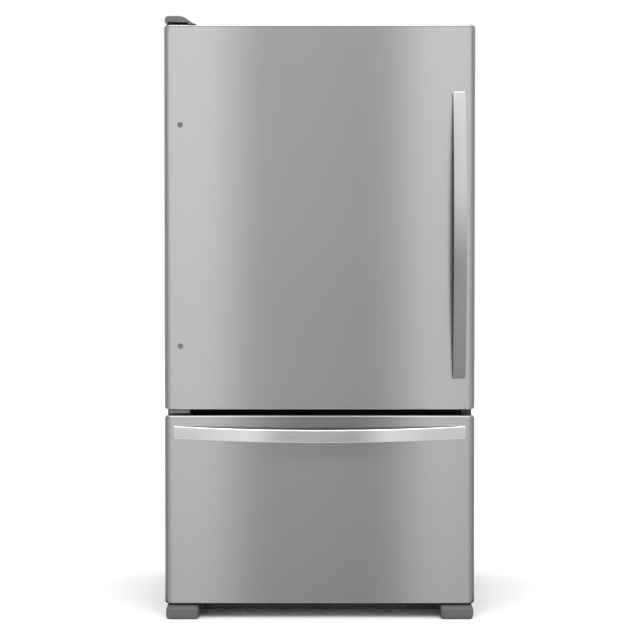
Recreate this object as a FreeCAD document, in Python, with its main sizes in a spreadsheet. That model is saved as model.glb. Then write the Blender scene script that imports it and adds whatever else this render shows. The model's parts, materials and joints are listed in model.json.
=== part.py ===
import FreeCAD, Part
import math
import os
import Sketcher

# Bottom freezer refrigerator, single door over a pull-out freezer drawer.
# Millimetres. +Z is up, -Y is the front, +X is the handle side of the door.
# The origin lies on the floor, in the middle of the width and of the whole depth, handle included.

SIZES = [
    # overall faces
    ("door_overhang", 4, "cabinet's side to the side of the door and of the drawer front"),
    ("door_top_drop", 8, "cabinet's top to the door's top edge"),
    ("door_sill", 30, "fridge compartment's floor to the door's bottom edge"),
    ("drawer_head", 30, "freezer compartment's ceiling to the drawer front's top edge"),
    ("drawer_foot", 2, "cabinet's underside to the drawer front's bottom edge"),
    ("door_thickness", 64, "skin to back of the door and of the drawer front"),
    ("door_plan_radius", 16.5, "rounding of the upright front edges, seen from above"),
    ("door_edge_radius", 5, "rolled top and bottom edges of the faces"),
    ("skin_sheet", 1, "steel sheet of the faces"),
    ("gasket_gap", 12, "door back to cabinet front"),
    # cabinet
    ("cabinet_width", 897, "outside of the cabinet's side walls"),
    ("cabinet_depth", 722, "cabinet front to rear panel"),
    ("cabinet_top", 1736, "height of the cabinet's top"),
    ("cabinet_bottom", 42, "height of the cabinet's underside"),
    ("cabinet_corner", 6, "rounding of the cabinet's long top edges"),
    ("shell_sheet", 1.2, "steel sheet of the cabinet and the rear panel"),
    ("front_flange", 30, "inward flange round the cabinet's front"),
    ("pan_sheet", 1.5, "steel sheet of the stepped bottom"),
    ("side_wall", 48.5, "outside of the cabinet to the inside of the liners"),
    ("ceiling_wall", 38, "cabinet top to the fridge ceiling"),
    ("rear_wall", 65, "rear face to the back of both compartments"),
    ("liner_wall", 2, "plastic sheet of the liners"),
    ("liner_lip", 12, "liner flange above and below the centre rail"),
    ("liner_corner", 18, "rounding inside the fridge compartment"),
    ("centre_wall", 77, "freezer compartment's ceiling to the fridge compartment's floor"),
    ("freezer_height", 485, "height of the freezer compartment"),
    ("floor_wall", 36, "cabinet's underside to the freezer compartment's floor"),
    ("machine_room_depth", 240, "depth of the machine room at the rear bottom"),
    ("machine_room_height", 220, "cabinet's underside to the machine room's ceiling"),
    ("step_wall", 38, "insulation between the machine room and the freezer"),
    ("rail_depth", 22, "depth of the centre rail's returns"),
    ("ledge_width", 13, "plastic ledges on the compartments' side walls"),
    ("ledge_height", 8, "height of those ledges"),
    # gaskets
    ("gasket_width", 14, "width of the magnetic seal"),
    ("gasket_side_inset", 22, "door edge to seal at the sides"),
    ("gasket_end_inset", 12, "door edge to seal at the top and bottom"),
    # hinges
    ("hinge_inset", 22, "door edge to the hinge axis"),
    ("pin_radius", 6, "hinge pins"),
    ("running_fit", 0.05, "radial clearance of pins, shafts and axles"),
    ("seat_gap", 0.3, "clearance of pieces that rest beside each other"),
    ("bushing_radius", 10, "plastic hinge bushings in the door"),
    ("bushing_length", 28, "length of the bushings"),
    ("bushing_floor", 6, "closed end of the bushings"),
    ("hinge_plate", 4, "thickness of the top hinge plate"),
    ("hinge_plate_width", 68, "width of the top hinge plate"),
    ("hinge_plate_rear", 80, "length of the plate behind the cabinet front"),
    ("pin_depth", 18, "how deep the pins reach into the door"),
    ("arm_thickness", 10, "thickness of the centre hinge arm"),
    ("arm_width", 59, "width of the centre hinge arm"),
    ("arm_margin", 14, "arm metal in front of the pin"),
    ("arm_side_margin", 8.5, "arm metal beside the pin"),
    ("arm_top_gap", 2, "centre hinge arm to the door's bottom"),
    ("hinge_flange", 3, "thickness of the centre hinge's wall flange"),
    ("hinge_flange_height", 36, "height of that flange"),
    # hinge cover
    ("cover_rise", 21, "cabinet's top to the cover's top"),
    ("cover_lip_rise", 7, "cabinet's top to the underside of the cover's front lip"),
    ("cover_inset", 1.5, "door edge to the cover's outer side"),
    ("cover_width", 93, "width of the hinge cover"),
    ("cover_slope", 43, "width of the cover's sloping side"),
    ("cover_shoulder", 12, "rounding of the cover's outer shoulder"),
    ("cover_front_inset", 5, "door face to the cover's front"),
    ("cover_rear", 96, "length of the cover behind the cabinet front"),
    ("cover_wall", 2.5, "plastic wall of the cover"),
    ("cover_hollow_height", 12, "hollow of the cover above the cabinet"),
    ("cover_skirt", 22, "width of the cover's low skirt over the door"),
    ("cover_skirt_gap", 2, "skirt to the door's top"),
    # handles
    ("handle_reach", 62, "door face to the front of the handle"),
    ("handle_bow", 44, "bow of the handle between its ends"),
    ("handle_width", 37, "width of the handle bars"),
    ("handle_thickness", 12, "thickness of the handle bars"),
    ("handle_edge", 1.5, "bevel along the handle bars"),
    ("door_handle_inset", 47.5, "door edge to the handle's centre line"),
    ("door_handle_foot", 91, "door's bottom edge to the handle's lower end"),
    ("door_handle_head", 196, "door's top edge to the handle's upper end"),
    ("drawer_handle_inset", 27.5, "drawer front's side to the handle's end"),
    ("drawer_handle_drop", 48, "drawer front's top edge to the middle of the handle's ends"),
    ("drawer_handle_sag", 8, "how much the drawer handle dips in its middle"),
    ("post_inset", 94, "handle end to its mounting post"),
    ("post_radius", 9, "mounting posts of the handles"),
    ("plug_radius", 8, "plugs in the unused handle holes"),
    ("plug_proud", 1.2, "how far the plugs stand proud"),
    ("plug_depth", 6, "how deep the plugs sit in the door"),
    # door inside
    ("dike_inset", 71, "door edge to the raised rim of the inner door"),
    ("dike_width", 14, "width of the raised rim"),
    ("dike_depth", 48, "depth of the raised rim"),
    ("dike_end_inset", 44, "door end to the raised rim"),
    ("door_liner_sheet", 3, "inner door sheet"),
    ("bin_depth", 104, "door bins, front to back"),
    ("bin_wall", 2.5, "plastic wall of bins and drawers"),
    ("bin_corner", 10, "rounding of the upright edges of bins and drawers"),
    ("bin_side_gap", 2, "bin to the raised rim"),
    ("bin_height", 96, "height of the door bins"),
    ("upper_bin_head", 144, "upper of the two bins to the dairy compartment"),
    ("lower_bin_lift", 28, "lower bin above the middle of the space that it has"),
    ("gallon_bin_gap", 32, "raised rim's lower bar to the large bottle bin"),
    ("gallon_bin_height", 170, "height of the large bottle bin"),
    ("dairy_gap", 22, "dairy compartment to the raised rim's upper bar"),
    ("dairy_height", 118, "height of the dairy compartment"),
    ("dairy_width", 360, "width of the dairy compartment"),
    ("dairy_wall", 5, "side walls of the dairy compartment"),
    ("flap_thickness", 3, "thickness of the dairy flap"),
    ("flap_pin", 3, "radius of the flap's hinge pins"),
    ("flap_pin_length", 5, "how far the flap's pins reach into the bin"),
    ("flap_knuckle", 5, "radius of the flap's hinge edge"),
    # drawer slides and baskets
    ("slide_length", 480, "length of each slide member"),
    ("slide_height", 46, "height of the outer slide member"),
    ("slide_gap", 9, "freezer's step to the slide members"),
    ("slide_width", 12, "width of the outer slide member"),
    ("slide_sheet", 1.5, "steel of the slide members"),
    ("slide_setback", 5, "cabinet front to the slide members"),
    ("bracket_sheet", 3, "steel of the basket brackets"),
    ("bracket_flange", 14, "inward flange that carries the lower basket"),
    ("bracket_foot", 46, "flange that bolts to the drawer front"),
    ("bracket_drop", 12, "bracket flange below the slide members"),
    ("basket_floor_gap", 6, "freezer floor to the lower basket"),
    ("basket_front_gap", 4, "inner drawer front to the lower basket"),
    ("basket_rear_gap", 12, "freezer step to the lower basket"),
    ("basket_rim", 12, "outward rim of the lower basket"),
    ("upper_basket_head", 45.7, "upper basket to the freezer's ceiling"),
    ("upper_basket_depth", 400, "upper basket, front to back"),
    ("upper_basket_setback", 44, "cabinet front to the upper basket"),
    ("upper_basket_side_gap", 3, "upper basket to the side walls"),
    ("ledge_gap", 4, "slide members to the upper basket's ledges"),
    # shelves and crispers
    ("shelf_front", 142, "cabinet front to the shelves' front edge"),
    ("shelf_rear_gap", 36, "shelves to the rear wall"),
    ("shelf_side_gap", 8, "shelves to the side walls"),
    ("shelf_height", 16, "height of a shelf frame"),
    ("shelf_rail", 20, "width of a shelf frame's rails"),
    ("glass_rest", 14, "width of the ledge under the glass"),
    ("glass_thickness", 4, "glass of the shelves"),
    ("lowest_shelf_gap", 224, "crispers' cover to the lowest shelf"),
    ("shelf_pitch", 172, "spacing of the shelves"),
    ("ladder_width", 22, "width of the shelf tracks"),
    ("ladder_depth", 8, "depth of the shelf tracks"),
    ("ladder_spacing", 500, "distance between the shelf tracks"),
    ("ladder_foot", 130, "lower end of the shelf tracks to the lowest shelf"),
    ("ladder_head", 98, "upper end of the shelf tracks to the ceiling"),
    ("ladder_slot", 6, "width of the slots in the shelf tracks"),
    ("ladder_slot_height", 12, "height of those slots"),
    ("ladder_pitch", 32, "spacing of those slots"),
    ("crisper_height", 205, "height of the crispers"),
    ("crisper_depth", 430, "crispers, front to back"),
    ("crisper_divider", 6, "thickness of the divider between the crispers"),
    ("crisper_side_gap", 6, "crisper to the side wall and the divider"),
    ("crisper_frame_gap", 5, "top of the crispers to their cover"),
    ("crisper_grip", 14, "depth of the grip lip along a crisper's front"),
    ("grip_drop", 10, "crisper's top to the underside of its grip lip"),
    ("grip_thickness", 5, "thickness of the grip lip"),
    ("divider_flange", 24, "flange that joins the divider to its frame"),
    # air duct, control and light
    ("duct_width", 180, "width of the air duct"),
    ("duct_depth", 30, "depth of the air duct"),
    ("duct_foot", 64, "crispers' cover to the air duct"),
    ("duct_head", 58, "air duct to the ceiling"),
    ("duct_slot_width", 110, "width of the air outlets"),
    ("duct_slot_height", 9, "height of the air outlets"),
    ("duct_slot_pitch", 172, "spacing of the air outlets"),
    ("control_width", 320, "width of the control housing"),
    ("control_depth", 200, "depth of the control housing"),
    ("control_height", 32, "height of the control housing"),
    ("control_front", 140, "cabinet front to the control housing"),
    ("dial_radius", 12, "radius of the temperature dial"),
    ("dial_length", 12, "length of the dial"),
    ("dial_edge", 1, "bevel and pointer groove of the dial"),
    ("dial_shaft", 3, "radius of the dial's shaft"),
    ("dial_shaft_length", 14, "length of the dial's shaft"),
    ("lens_width", 160, "width of the light's lens"),
    ("lens_depth", 80, "depth of the light's lens"),
    ("lens_drop", 6, "how far the lens hangs under the housing"),
    # freezer rear
    ("evaporator_width", 560, "width of the evaporator"),
    ("evaporator_depth", 44, "depth of the evaporator"),
    ("evaporator_head", 13, "evaporator to the frame of its fan"),
    ("evaporator_gap", 6, "evaporator to the freezer's rear wall and step"),
    ("evaporator_cover_gap", 66, "evaporator cover to the freezer's rear wall"),
    ("evaporator_cover_sheet", 3, "plastic of the evaporator cover"),
    ("fin_sheet", 1.2, "thickness of the fins"),
    ("fin_pitch", 20, "spacing of the fins"),
    ("tube_radius", 4, "evaporator and condenser tubes"),
    ("evaporator_fan_drop", 71, "freezer's ceiling to the evaporator fan's axis"),
    # fans
    ("fan_radius", 52, "radius of the fan blades"),
    ("fan_tip_gap", 4, "blade tips to the fan frame"),
    ("fan_hub", 16, "radius of the fan hubs"),
    ("fan_hub_length", 18, "length of the fan hubs"),
    ("blade_sheet", 2, "thickness of the blades"),
    ("blade_tilt", 30, "slope of the blades, in degrees"),
    ("fan_frame", 126, "side of the square fan frames"),
    ("fan_frame_sheet", 4, "thickness of the fan frames"),
    ("fan_arm", 8, "width of the motor's arms"),
    ("motor_radius", 22, "radius of the fan motors"),
    ("motor_length", 20, "length of the fan motors"),
    ("motor_gap", 3, "fan hub to motor"),
    ("shaft_radius", 3, "fan shafts"),
    ("shaft_length", 12, "how far a fan shaft reaches into its motor"),
    # machine room
    ("tray_sheet", 2.5, "steel of the compressor tray"),
    ("tray_flange", 18, "upright rear flange of the tray"),
    ("rear_cover_inset", 2, "rear face to the machine room cover"),
    ("rear_cover_sheet", 1.2, "sheet of the machine room cover"),
    ("louvre_width", 220, "width of the cover's louvre slots"),
    ("louvre_height", 5, "height of the louvre slots"),
    ("louvre_pitch", 18, "spacing of the louvre slots"),
    ("louvre_foot", 42, "cabinet's underside to the lowest louvre slot"),
    ("compressor_inset", 163.5, "cabinet's side to the compressor's axis"),
    ("compressor_setback", 118, "rear face to the compressor's axis"),
    ("compressor_radius", 78, "radius of the compressor's can"),
    ("compressor_height", 168, "height of the compressor's can"),
    ("compressor_dome", 34, "rounding of the compressor's ends"),
    ("foot_plate_width", 224, "width of the compressor's foot plate"),
    ("foot_plate_depth", 128, "depth of the compressor's foot plate"),
    ("foot_plate_sheet", 3, "thickness of the compressor's foot plate"),
    ("stub_length", 20, "how far the compressor's tube stubs stand out"),
    ("stub_spacing", 24, "spacing of the tube stubs"),
    ("grommet_radius", 11, "rubber mounts under the compressor"),
    ("grommet_height", 13, "height of the rubber mounts"),
    ("mount_inset", 16.5, "foot plate's edges to the middle of a rubber mount"),
    ("cord_inset", 68.5, "cabinet's side to the cord grommet"),
    ("cord_drop", 52, "machine room's ceiling to the cord grommet"),
    ("cord_bore", 4.5, "bore of the cord grommet"),
    ("cord_grommet", 9, "radius of the cord grommet"),
    ("cord_grommet_length", 12, "length of the cord grommet"),
    ("condenser_width", 170, "condenser, along the fan's axis"),
    ("condenser_depth", 150, "condenser, front to back"),
    ("condenser_height", 160, "height of the condenser"),
    ("condenser_inset", 38.5, "cabinet's side to the condenser"),
    ("condenser_fan_gap", 40, "condenser to its fan"),
    ("drain_pan_width", 210, "width of the drain pan"),
    ("drain_pan_depth", 190, "depth of the drain pan"),
    ("drain_pan_height", 46, "height of the drain pan"),
    # base
    ("grille_setback", 112, "door face to the base grille"),
    ("grille_side_gap", 6, "foot covers to the base grille"),
    ("grille_bottom", 6, "floor to the base grille"),
    ("grille_thickness", 6, "thickness of the base grille"),
    ("grille_slot", 46, "length of a grille slot"),
    ("grille_slot_height", 5, "height of a grille slot"),
    ("grille_pitch", 60, "spacing of the grille slots"),
    ("foot_cover_width", 95, "width of the foot covers"),
    ("foot_cover_inset", 1.5, "door edge to a foot cover's outer side"),
    ("foot_cover_setback", 6, "door face to a foot cover's front"),
    ("foot_cover_depth", 132, "depth of the foot covers"),
    ("foot_cover_bottom", 3, "floor to the foot covers"),
    ("foot_cover_wall", 2.5, "plastic wall of the foot covers"),
    ("foot_cover_bevel", 5, "bevel round the foot covers' fronts"),
    ("bracket_inset", 32.5, "cabinet's side to the roller brackets' middle"),
    ("bracket_width", 36, "width of the roller brackets"),
    ("bracket_setback", 3, "cabinet front to the roller brackets"),
    ("bracket_length", 135, "length of the front roller brackets"),
    ("rear_bracket_length", 62, "length of the rear roller brackets"),
    ("bracket_bottom", 14, "floor to the roller brackets"),
    ("bracket_steel", 2, "steel of the roller brackets"),
    ("nut_length", 16, "nut block for the leveling leg, front to back"),
    ("nut_height", 10, "height of the nut block"),
    ("leg_setback", 24, "cabinet front to the leveling legs"),
    ("leg_radius", 5, "threaded stem of the leveling legs"),
    ("leg_foot_radius", 14, "foot of the leveling legs"),
    ("leg_foot_height", 9, "height of that foot"),
    ("leg_foot_edge", 1.5, "bevel of that foot"),
    ("leg_head_gap", 2, "leveling leg to its bracket's roof"),
    ("roller_radius", 17, "rollers"),
    ("roller_width", 22, "width of a roller"),
    ("axle_radius", 4, "roller axles"),
    ("axle_head", 2, "how far an axle stands out of its bracket"),
    ("front_roller_lift", 3, "floor to the lifted front rollers"),
    ("front_roller_setback", 105, "cabinet front to the front axle"),
    ("rear_roller_inset", 34, "rear face to the rear axle"),
    # fasteners
    ("bolt_head", 5, "radius of the hinge bolt heads"),
    ("bolt_head_height", 3.5, "height of the hinge bolt heads"),
    ("bolt_pitch", 26, "spacing of the hinge bolts"),
    ("hinge_screw_drop", 7.5, "top of the centre hinge's flange to its screws"),
    ("screw_head", 4, "radius of the sheet screw heads"),
    ("screw_head_height", 1.6, "height of the sheet screw heads"),
    ("screw_inset", 12, "cover edge to its screws"),
]


def text_of(value):
    """The expression text of a size or of a plain number."""
    return value.text if isinstance(value, Size) else repr(value)


def number_of(value):
    """The number of a size or of a plain number."""
    return value.value if isinstance(value, Size) else value


class Size:
    """A length, kept as the expression that drives it and as its present number."""

    def __init__(self, value, text):
        self.value = value
        self.text = text

    def __add__(self, other):
        return Size(self.value + number_of(other), f"({self.text} + {text_of(other)})")

    def __radd__(self, other):
        return Size(number_of(other) + self.value, f"({text_of(other)} + {self.text})")

    def __sub__(self, other):
        return Size(self.value - number_of(other), f"({self.text} - {text_of(other)})")

    def __rsub__(self, other):
        return Size(number_of(other) - self.value, f"({text_of(other)} - {self.text})")

    def __mul__(self, other):
        return Size(self.value * number_of(other), f"({self.text} * {text_of(other)})")

    def __rmul__(self, other):
        return Size(number_of(other) * self.value, f"({text_of(other)} * {self.text})")

    def __truediv__(self, other):
        return Size(self.value / number_of(other), f"({self.text} / {text_of(other)})")

    def __neg__(self):
        return Size(-self.value, f"(-1 * {self.text})")


class Sheet:
    """The spreadsheet of driving sizes; each alias is an attribute."""

    def __init__(self, document, sizes):
        table = document.addObject("Spreadsheet::Sheet", "dims")
        for row, (name, value, note) in enumerate(sizes, start=1):
            table.set(f"A{row}", name)
            table.set(f"B{row}", str(value))
            table.setAlias(f"B{row}", name)
            table.set(f"C{row}", note)
            setattr(self, name, Size(float(value), f"dims.{name}"))


document = FreeCAD.newDocument("refrigerator")
s = Sheet(document, SIZES)
document.recompute()

nodes = []


def node(thing, label):
    """Name an object of the document as a sub-part of the refrigerator."""
    thing.Label = label
    nodes.append(thing)
    return thing


# ---------------------------------------------------------------- sketches


def is_rounded(point):
    return len(point) == 3


def towards(start, end):
    """Unit step along the axis that joins two corners of an upright outline."""
    across = number_of(end[0]) - number_of(start[0])
    along = number_of(end[1]) - number_of(start[1])
    if abs(across) > abs(along):
        return (math.copysign(1, across), 0)
    return (0, math.copysign(1, along))


class Bend:
    """An arc between two points of an outline; it turns left or right as it goes."""

    def __init__(self, radius, left):
        self.radius = radius
        self.left = left


def stepped(point, step, length):
    """A point moved by a length along a unit step."""
    moved = []
    for place, share in zip(point, step):
        moved.append(place + length if share > 0 else place - length if share < 0 else place)
    return tuple(moved)


def rounded_outline(points):
    """Replace each corner given as (a, b, radius) by its two tangent points and an arc."""
    corners = [point for point in points if not isinstance(point, Bend)]
    path = []
    for index, point in enumerate(points):
        if isinstance(point, Bend) or not is_rounded(point):
            path.append(point)
            continue
        place = corners.index(point)
        before = towards(point, corners[place - 1])
        after = towards(point, corners[(place + 1) % len(corners)])
        radius = point[2]
        turn = -before[0] * after[1] + before[1] * after[0]
        path.append(stepped(point[:2], before, radius))
        path.append(Bend(radius, turn > 0))
        path.append(stepped(point[:2], after, radius))
    return path


def arc_between(start, end, radius, left):
    """The short arc from start to end."""
    chord = end - start
    middle = (start + end) * 0.5
    side = FreeCAD.Vector(-chord.y, chord.x, 0).normalize()
    reach = math.sqrt(max(radius * radius - chord.Length ** 2 / 4, 0))
    centre = middle + side * (reach if left else -reach)
    first, last = (start, end) if left else (end, start)
    first_angle = math.atan2(first.y - centre.y, first.x - centre.x)
    last_angle = math.atan2(last.y - centre.y, last.x - centre.x)
    if last_angle < first_angle:
        last_angle += 2 * math.pi
    circle = Part.Circle(centre, FreeCAD.Vector(0, 0, 1), radius)
    return Part.ArcOfCircle(circle, first_angle, last_angle)


def bind(sketch, constraint, size):
    """Add a constraint whose value follows a size."""
    number = sketch.addConstraint(constraint)
    if isinstance(size, Size):
        sketch.setExpression(f"Constraints[{number}]", size.text)


def draw_outline(sketch, points):
    """Closed outline through the points, each one held by its two distances."""
    path = rounded_outline(points)
    vertices = [point for point in path if not isinstance(point, Bend)]
    bends = []
    for index, item in enumerate(path):
        if not isinstance(item, Bend):
            following = path[(index + 1) % len(path)]
            bends.append(following if isinstance(following, Bend) else None)
    places = [FreeCAD.Vector(number_of(a), number_of(b), 0) for a, b in vertices]
    first = sketch.GeometryCount
    ends = []
    for index, bend in enumerate(bends):
        start = places[index]
        end = places[(index + 1) % len(places)]
        if bend is None:
            sketch.addGeometry(Part.LineSegment(start, end), False)
            ends.append((1, 2))
        else:
            sketch.addGeometry(arc_between(start, end, number_of(bend.radius), bend.left), False)
            ends.append((1, 2) if bend.left else (2, 1))
    for index in range(len(bends)):
        after = (index + 1) % len(bends)
        sketch.addConstraint(Sketcher.Constraint(
            "Coincident", first + index, ends[index][1], first + after, ends[after][0]))
    for index, (a, b) in enumerate(vertices):
        edge = first + index
        bind(sketch, Sketcher.Constraint("DistanceX", edge, ends[index][0], number_of(a)), a)
        bind(sketch, Sketcher.Constraint("DistanceY", edge, ends[index][0], number_of(b)), b)
        if bends[index] is not None:
            radius = bends[index].radius
            bind(sketch, Sketcher.Constraint("Radius", edge, number_of(radius)), radius)


def draw_circle(sketch, centre, radius):
    place = FreeCAD.Vector(number_of(centre[0]), number_of(centre[1]), 0)
    edge = sketch.GeometryCount
    sketch.addGeometry(Part.Circle(place, FreeCAD.Vector(0, 0, 1), number_of(radius)), False)
    bind(sketch, Sketcher.Constraint("DistanceX", edge, 3, place.x), centre[0])
    bind(sketch, Sketcher.Constraint("DistanceY", edge, 3, place.y), centre[1])
    bind(sketch, Sketcher.Constraint("Radius", edge, number_of(radius)), radius)


def rectangle(left, right, bottom, top, corner=None):
    """Corners of an upright rectangle, all rounded alike where a radius is given."""
    corners = [(left, bottom), (right, bottom), (right, top), (left, top)]
    if corner is None:
        return corners
    return [(a, b, corner) for a, b in corners]


class Ring:
    """A circle in a sketch."""

    def __init__(self, centre, radius):
        self.centre = centre
        self.radius = radius


class Piece:
    """A body made of outlines padded or cut between two places along a plane's normal.

    Plane XY takes (x, y) outlines and goes along Z, XZ takes (x, z) along Y, YZ takes (y, z) along X.
    """

    def __init__(self, label, is_node=True):
        self.body = document.addObject("PartDesign::Body", label)
        if is_node:
            node(self.body, label)

    def sketch(self, plane, place, outlines):
        sketch = self.body.newObject("Sketcher::SketchObject", f"{self.body.Name}_outline")
        roles = [f for f in self.body.Origin.OriginFeatures if f.Role == f"{plane}_Plane"]
        sketch.AttachmentSupport = [(roles[0], "")]
        sketch.MapMode = "FlatFace"
        offset = -place if plane == "XZ" else place
        sketch.setExpression("AttachmentOffset.Base.z", text_of(offset))
        for outline in outlines:
            if isinstance(outline, Ring):
                draw_circle(sketch, outline.centre, outline.radius)
            else:
                draw_outline(sketch, outline)
        return sketch

    def pad(self, plane, low, high, *outlines):
        """Material between low and high; the XZ plane's normal is -Y, so it starts at the high end."""
        start = high if plane == "XZ" else low
        sketch = self.sketch(plane, start, outlines)
        pad = self.body.newObject("PartDesign::Pad", f"{self.body.Name}_pad")
        pad.Profile = sketch
        pad.setExpression("Length", text_of(high - low))
        self.settle()
        return pad

    def cut(self, plane, low, high, *outlines):
        """A hollow between low and high."""
        start = low if plane == "XZ" else high
        before = self.volume()
        sketch = self.sketch(plane, start, outlines)
        pocket = self.body.newObject("PartDesign::Pocket", f"{self.body.Name}_pocket")
        pocket.Profile = sketch
        pocket.setExpression("Length", text_of(high - low))
        self.settle()
        if self.volume() >= before:
            raise RuntimeError(f"a pocket of {self.body.Label} cuts nothing")
        return pocket

    def round(self, radius, chosen):
        """Round the edges of the present shape that chosen() picks."""
        return self.dress("PartDesign::Fillet", "Radius", radius, chosen)

    def bevel(self, size, chosen):
        return self.dress("PartDesign::Chamfer", "Size", size, chosen)

    def dress(self, kind, property_name, size, chosen):
        base = self.body.Tip
        names = [f"Edge{i}" for i, edge in enumerate(base.Shape.Edges, start=1) if chosen(edge)]
        if not names:
            raise RuntimeError(f"no edge of {self.body.Label} to round")
        feature = self.body.newObject(kind, f"{self.body.Name}_edges")
        feature.Base = (base, names)
        feature.setExpression(property_name, text_of(size))
        self.settle()
        return feature

    def repeat(self, feature, axis, pitch, count):
        """Copies of one feature in a row along an axis of the body."""
        pattern = self.body.newObject("PartDesign::LinearPattern", f"{self.body.Name}_row")
        pattern.Originals = [feature]
        roles = [f for f in self.body.Origin.OriginFeatures if f.Role == f"{axis}_Axis"]
        pattern.Direction = (roles[0], [""])
        pattern.Occurrences = count
        pattern.setExpression("Length", text_of(pitch * (count - 1)))
        self.body.Tip = pattern
        self.settle()
        return pattern

    def settle(self):
        document.recompute()
        tip = self.body.Tip
        if "Invalid" in tip.State or tip.Shape.isNull():
            raise RuntimeError(f"{tip.Label} of {self.body.Label} failed")

    def volume(self):
        return self.body.Tip.Shape.Volume if self.body.Tip else 0


# ---------------------------------------------------------------- primitives


def place_object(thing, x, y, z, rotation=None):
    if rotation is not None:
        thing.Placement = FreeCAD.Placement(FreeCAD.Vector(), rotation)
    for axis, place in zip("xyz", (x, y, z)):
        thing.setExpression(f"Placement.Base.{axis}", text_of(place))
    return thing


def block(name, x, y, z):
    """A box between two places on each axis."""
    box = document.addObject("Part::Box", name)
    box.setExpression("Length", text_of(x[1] - x[0]))
    box.setExpression("Width", text_of(y[1] - y[0]))
    box.setExpression("Height", text_of(z[1] - z[0]))
    return place_object(box, x[0], y[0], z[0])


def rod(name, axis, centre, radius, span):
    """A cylinder along an axis; its centre is given by the other two coordinates, in XYZ order."""
    cylinder = document.addObject("Part::Cylinder", name)
    cylinder.setExpression("Radius", text_of(radius))
    cylinder.setExpression("Height", text_of(span[1] - span[0]))
    a, b = centre
    if axis == "X":
        return place_object(cylinder, span[0], a, b, FreeCAD.Rotation(FreeCAD.Vector(0, 1, 0), 90))
    if axis == "Y":
        return place_object(cylinder, a, span[0], b, FreeCAD.Rotation(FreeCAD.Vector(1, 0, 0), -90))
    return place_object(cylinder, a, b, span[0])


def fused(name, first, *others):
    """One solid out of several."""
    joined = document.addObject("Part::MultiFuse", name)
    joined.Shapes = [first, *others]
    return joined


def cut_out(name, base, *tools):
    """A solid with others taken away, one after another."""
    for number, tool in enumerate(tools, start=1):
        cut = document.addObject("Part::Cut", f"{name}_cut_{number}")
        cut.Base = base
        cut.Tool = tool
        base = cut
    return base


def group(label, members):
    """Separate solids that share one node."""
    together = document.addObject("Part::Compound", label)
    together.Links = members
    return node(together, label)


# ---------------------------------------------------------------- places shared by several pieces

half_cabinet = s.cabinet_width / 2
half_door = half_cabinet + s.door_overhang
total_depth = s.handle_reach + s.door_thickness + s.gasket_gap + s.cabinet_depth
door_face = s.handle_reach - total_depth / 2
door_back = door_face + s.door_thickness
cabinet_front = door_back + s.gasket_gap
cabinet_rear = cabinet_front + s.cabinet_depth

inside = half_cabinet - s.side_wall
freezer_floor = s.cabinet_bottom + s.floor_wall
freezer_ceiling = freezer_floor + s.freezer_height
fridge_floor = freezer_ceiling + s.centre_wall
fridge_ceiling = s.cabinet_top - s.ceiling_wall
door_top = s.cabinet_top - s.door_top_drop
door_bottom = fridge_floor - s.door_sill
drawer_top = freezer_ceiling + s.drawer_head
drawer_bottom = s.cabinet_bottom + s.drawer_foot
cavity_rear = cabinet_rear - s.rear_wall
machine_front = cabinet_rear - s.machine_room_depth
machine_room_top = s.cabinet_bottom + s.machine_room_height
freezer_step_face = machine_front - s.step_wall
freezer_step_top = machine_room_top + s.step_wall
shell_inside = half_cabinet - s.shell_sheet
flange_inside = half_cabinet - s.front_flange
rail_top = fridge_floor - s.liner_lip
rail_bottom = freezer_ceiling + s.liner_lip
pan_front = cabinet_front + s.shell_sheet
floor_sheet_top = s.cabinet_bottom + s.pan_sheet

hinge_x = s.hinge_inset - half_door
hinge_y = door_face + s.door_thickness / 2
foam_back = door_back - s.door_liner_sheet
dike_outside = half_door - s.dike_inset
dike_inside = dike_outside - s.dike_width
dike_back = door_back + s.dike_depth
dike_end = s.dike_end_inset + s.dike_width
bin_half = dike_inside - s.bin_side_gap
bin_back = door_back + s.bin_depth

shelf_front_y = cabinet_front + s.shelf_front
shelf_rear_y = cavity_rear - s.shelf_rear_gap
shelf_half = inside - s.shelf_side_gap
crisper_top = fridge_floor + s.crisper_height
crisper_frame_bottom = crisper_top + s.crisper_frame_gap
crisper_frame_top = crisper_frame_bottom + s.shelf_height
lowest_shelf = crisper_frame_top + s.lowest_shelf_gap
tray_top = s.cabinet_bottom + s.tray_sheet
axle_hole = s.axle_radius + s.running_fit


close = 0.01  # places nearer than this count as one


def at(axis, place):
    """Chooser of the edges that lie wholly at one place on an axis."""
    def chosen(edge):
        box = edge.BoundBox
        low = getattr(box, f"{axis.upper()}Min")
        high = getattr(box, f"{axis.upper()}Max")
        wanted = number_of(place)
        return abs(low - wanted) < close and abs(high - wanted) < close
    return chosen


def sided(side, near, far):
    """A span measured outwards from the middle, on the left (-1) or the right (1)."""
    return (near, far) if side > 0 else (-far, -near)


def wider_than(radius):
    """Chooser of the round edges of at least a radius."""
    return lambda edge: edge.BoundBox.XLength > 2 * number_of(radius) - close


def both(*choosers):
    return lambda edge: all(chosen(edge) for chosen in choosers)


def either(*choosers):
    return lambda edge: any(chosen(edge) for chosen in choosers)


# ---------------------------------------------------------------- cabinet


def cabinet_shell():
    """Folded steel wrapper: two sides and the top, with a flange round the front."""
    shell = Piece("cabinet_shell")
    top = s.cabinet_top
    bottom = s.cabinet_bottom
    corner = s.cabinet_corner
    outside = [(-half_cabinet, bottom), (half_cabinet, bottom),
               (half_cabinet, top, corner), (-half_cabinet, top, corner)]
    shell.pad("XZ", cabinet_front, cabinet_rear, outside)
    hollow_corner = corner - s.shell_sheet
    hollow_top = top - s.shell_sheet
    hollow = [(-shell_inside, bottom), (shell_inside, bottom),
              (shell_inside, hollow_top, hollow_corner), (-shell_inside, hollow_top, hollow_corner)]
    shell.cut("XZ", pan_front, cabinet_rear, hollow)
    opening = rectangle(-flange_inside, flange_inside, bottom, top - s.front_flange)
    shell.cut("XZ", cabinet_front, pan_front, opening)


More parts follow.
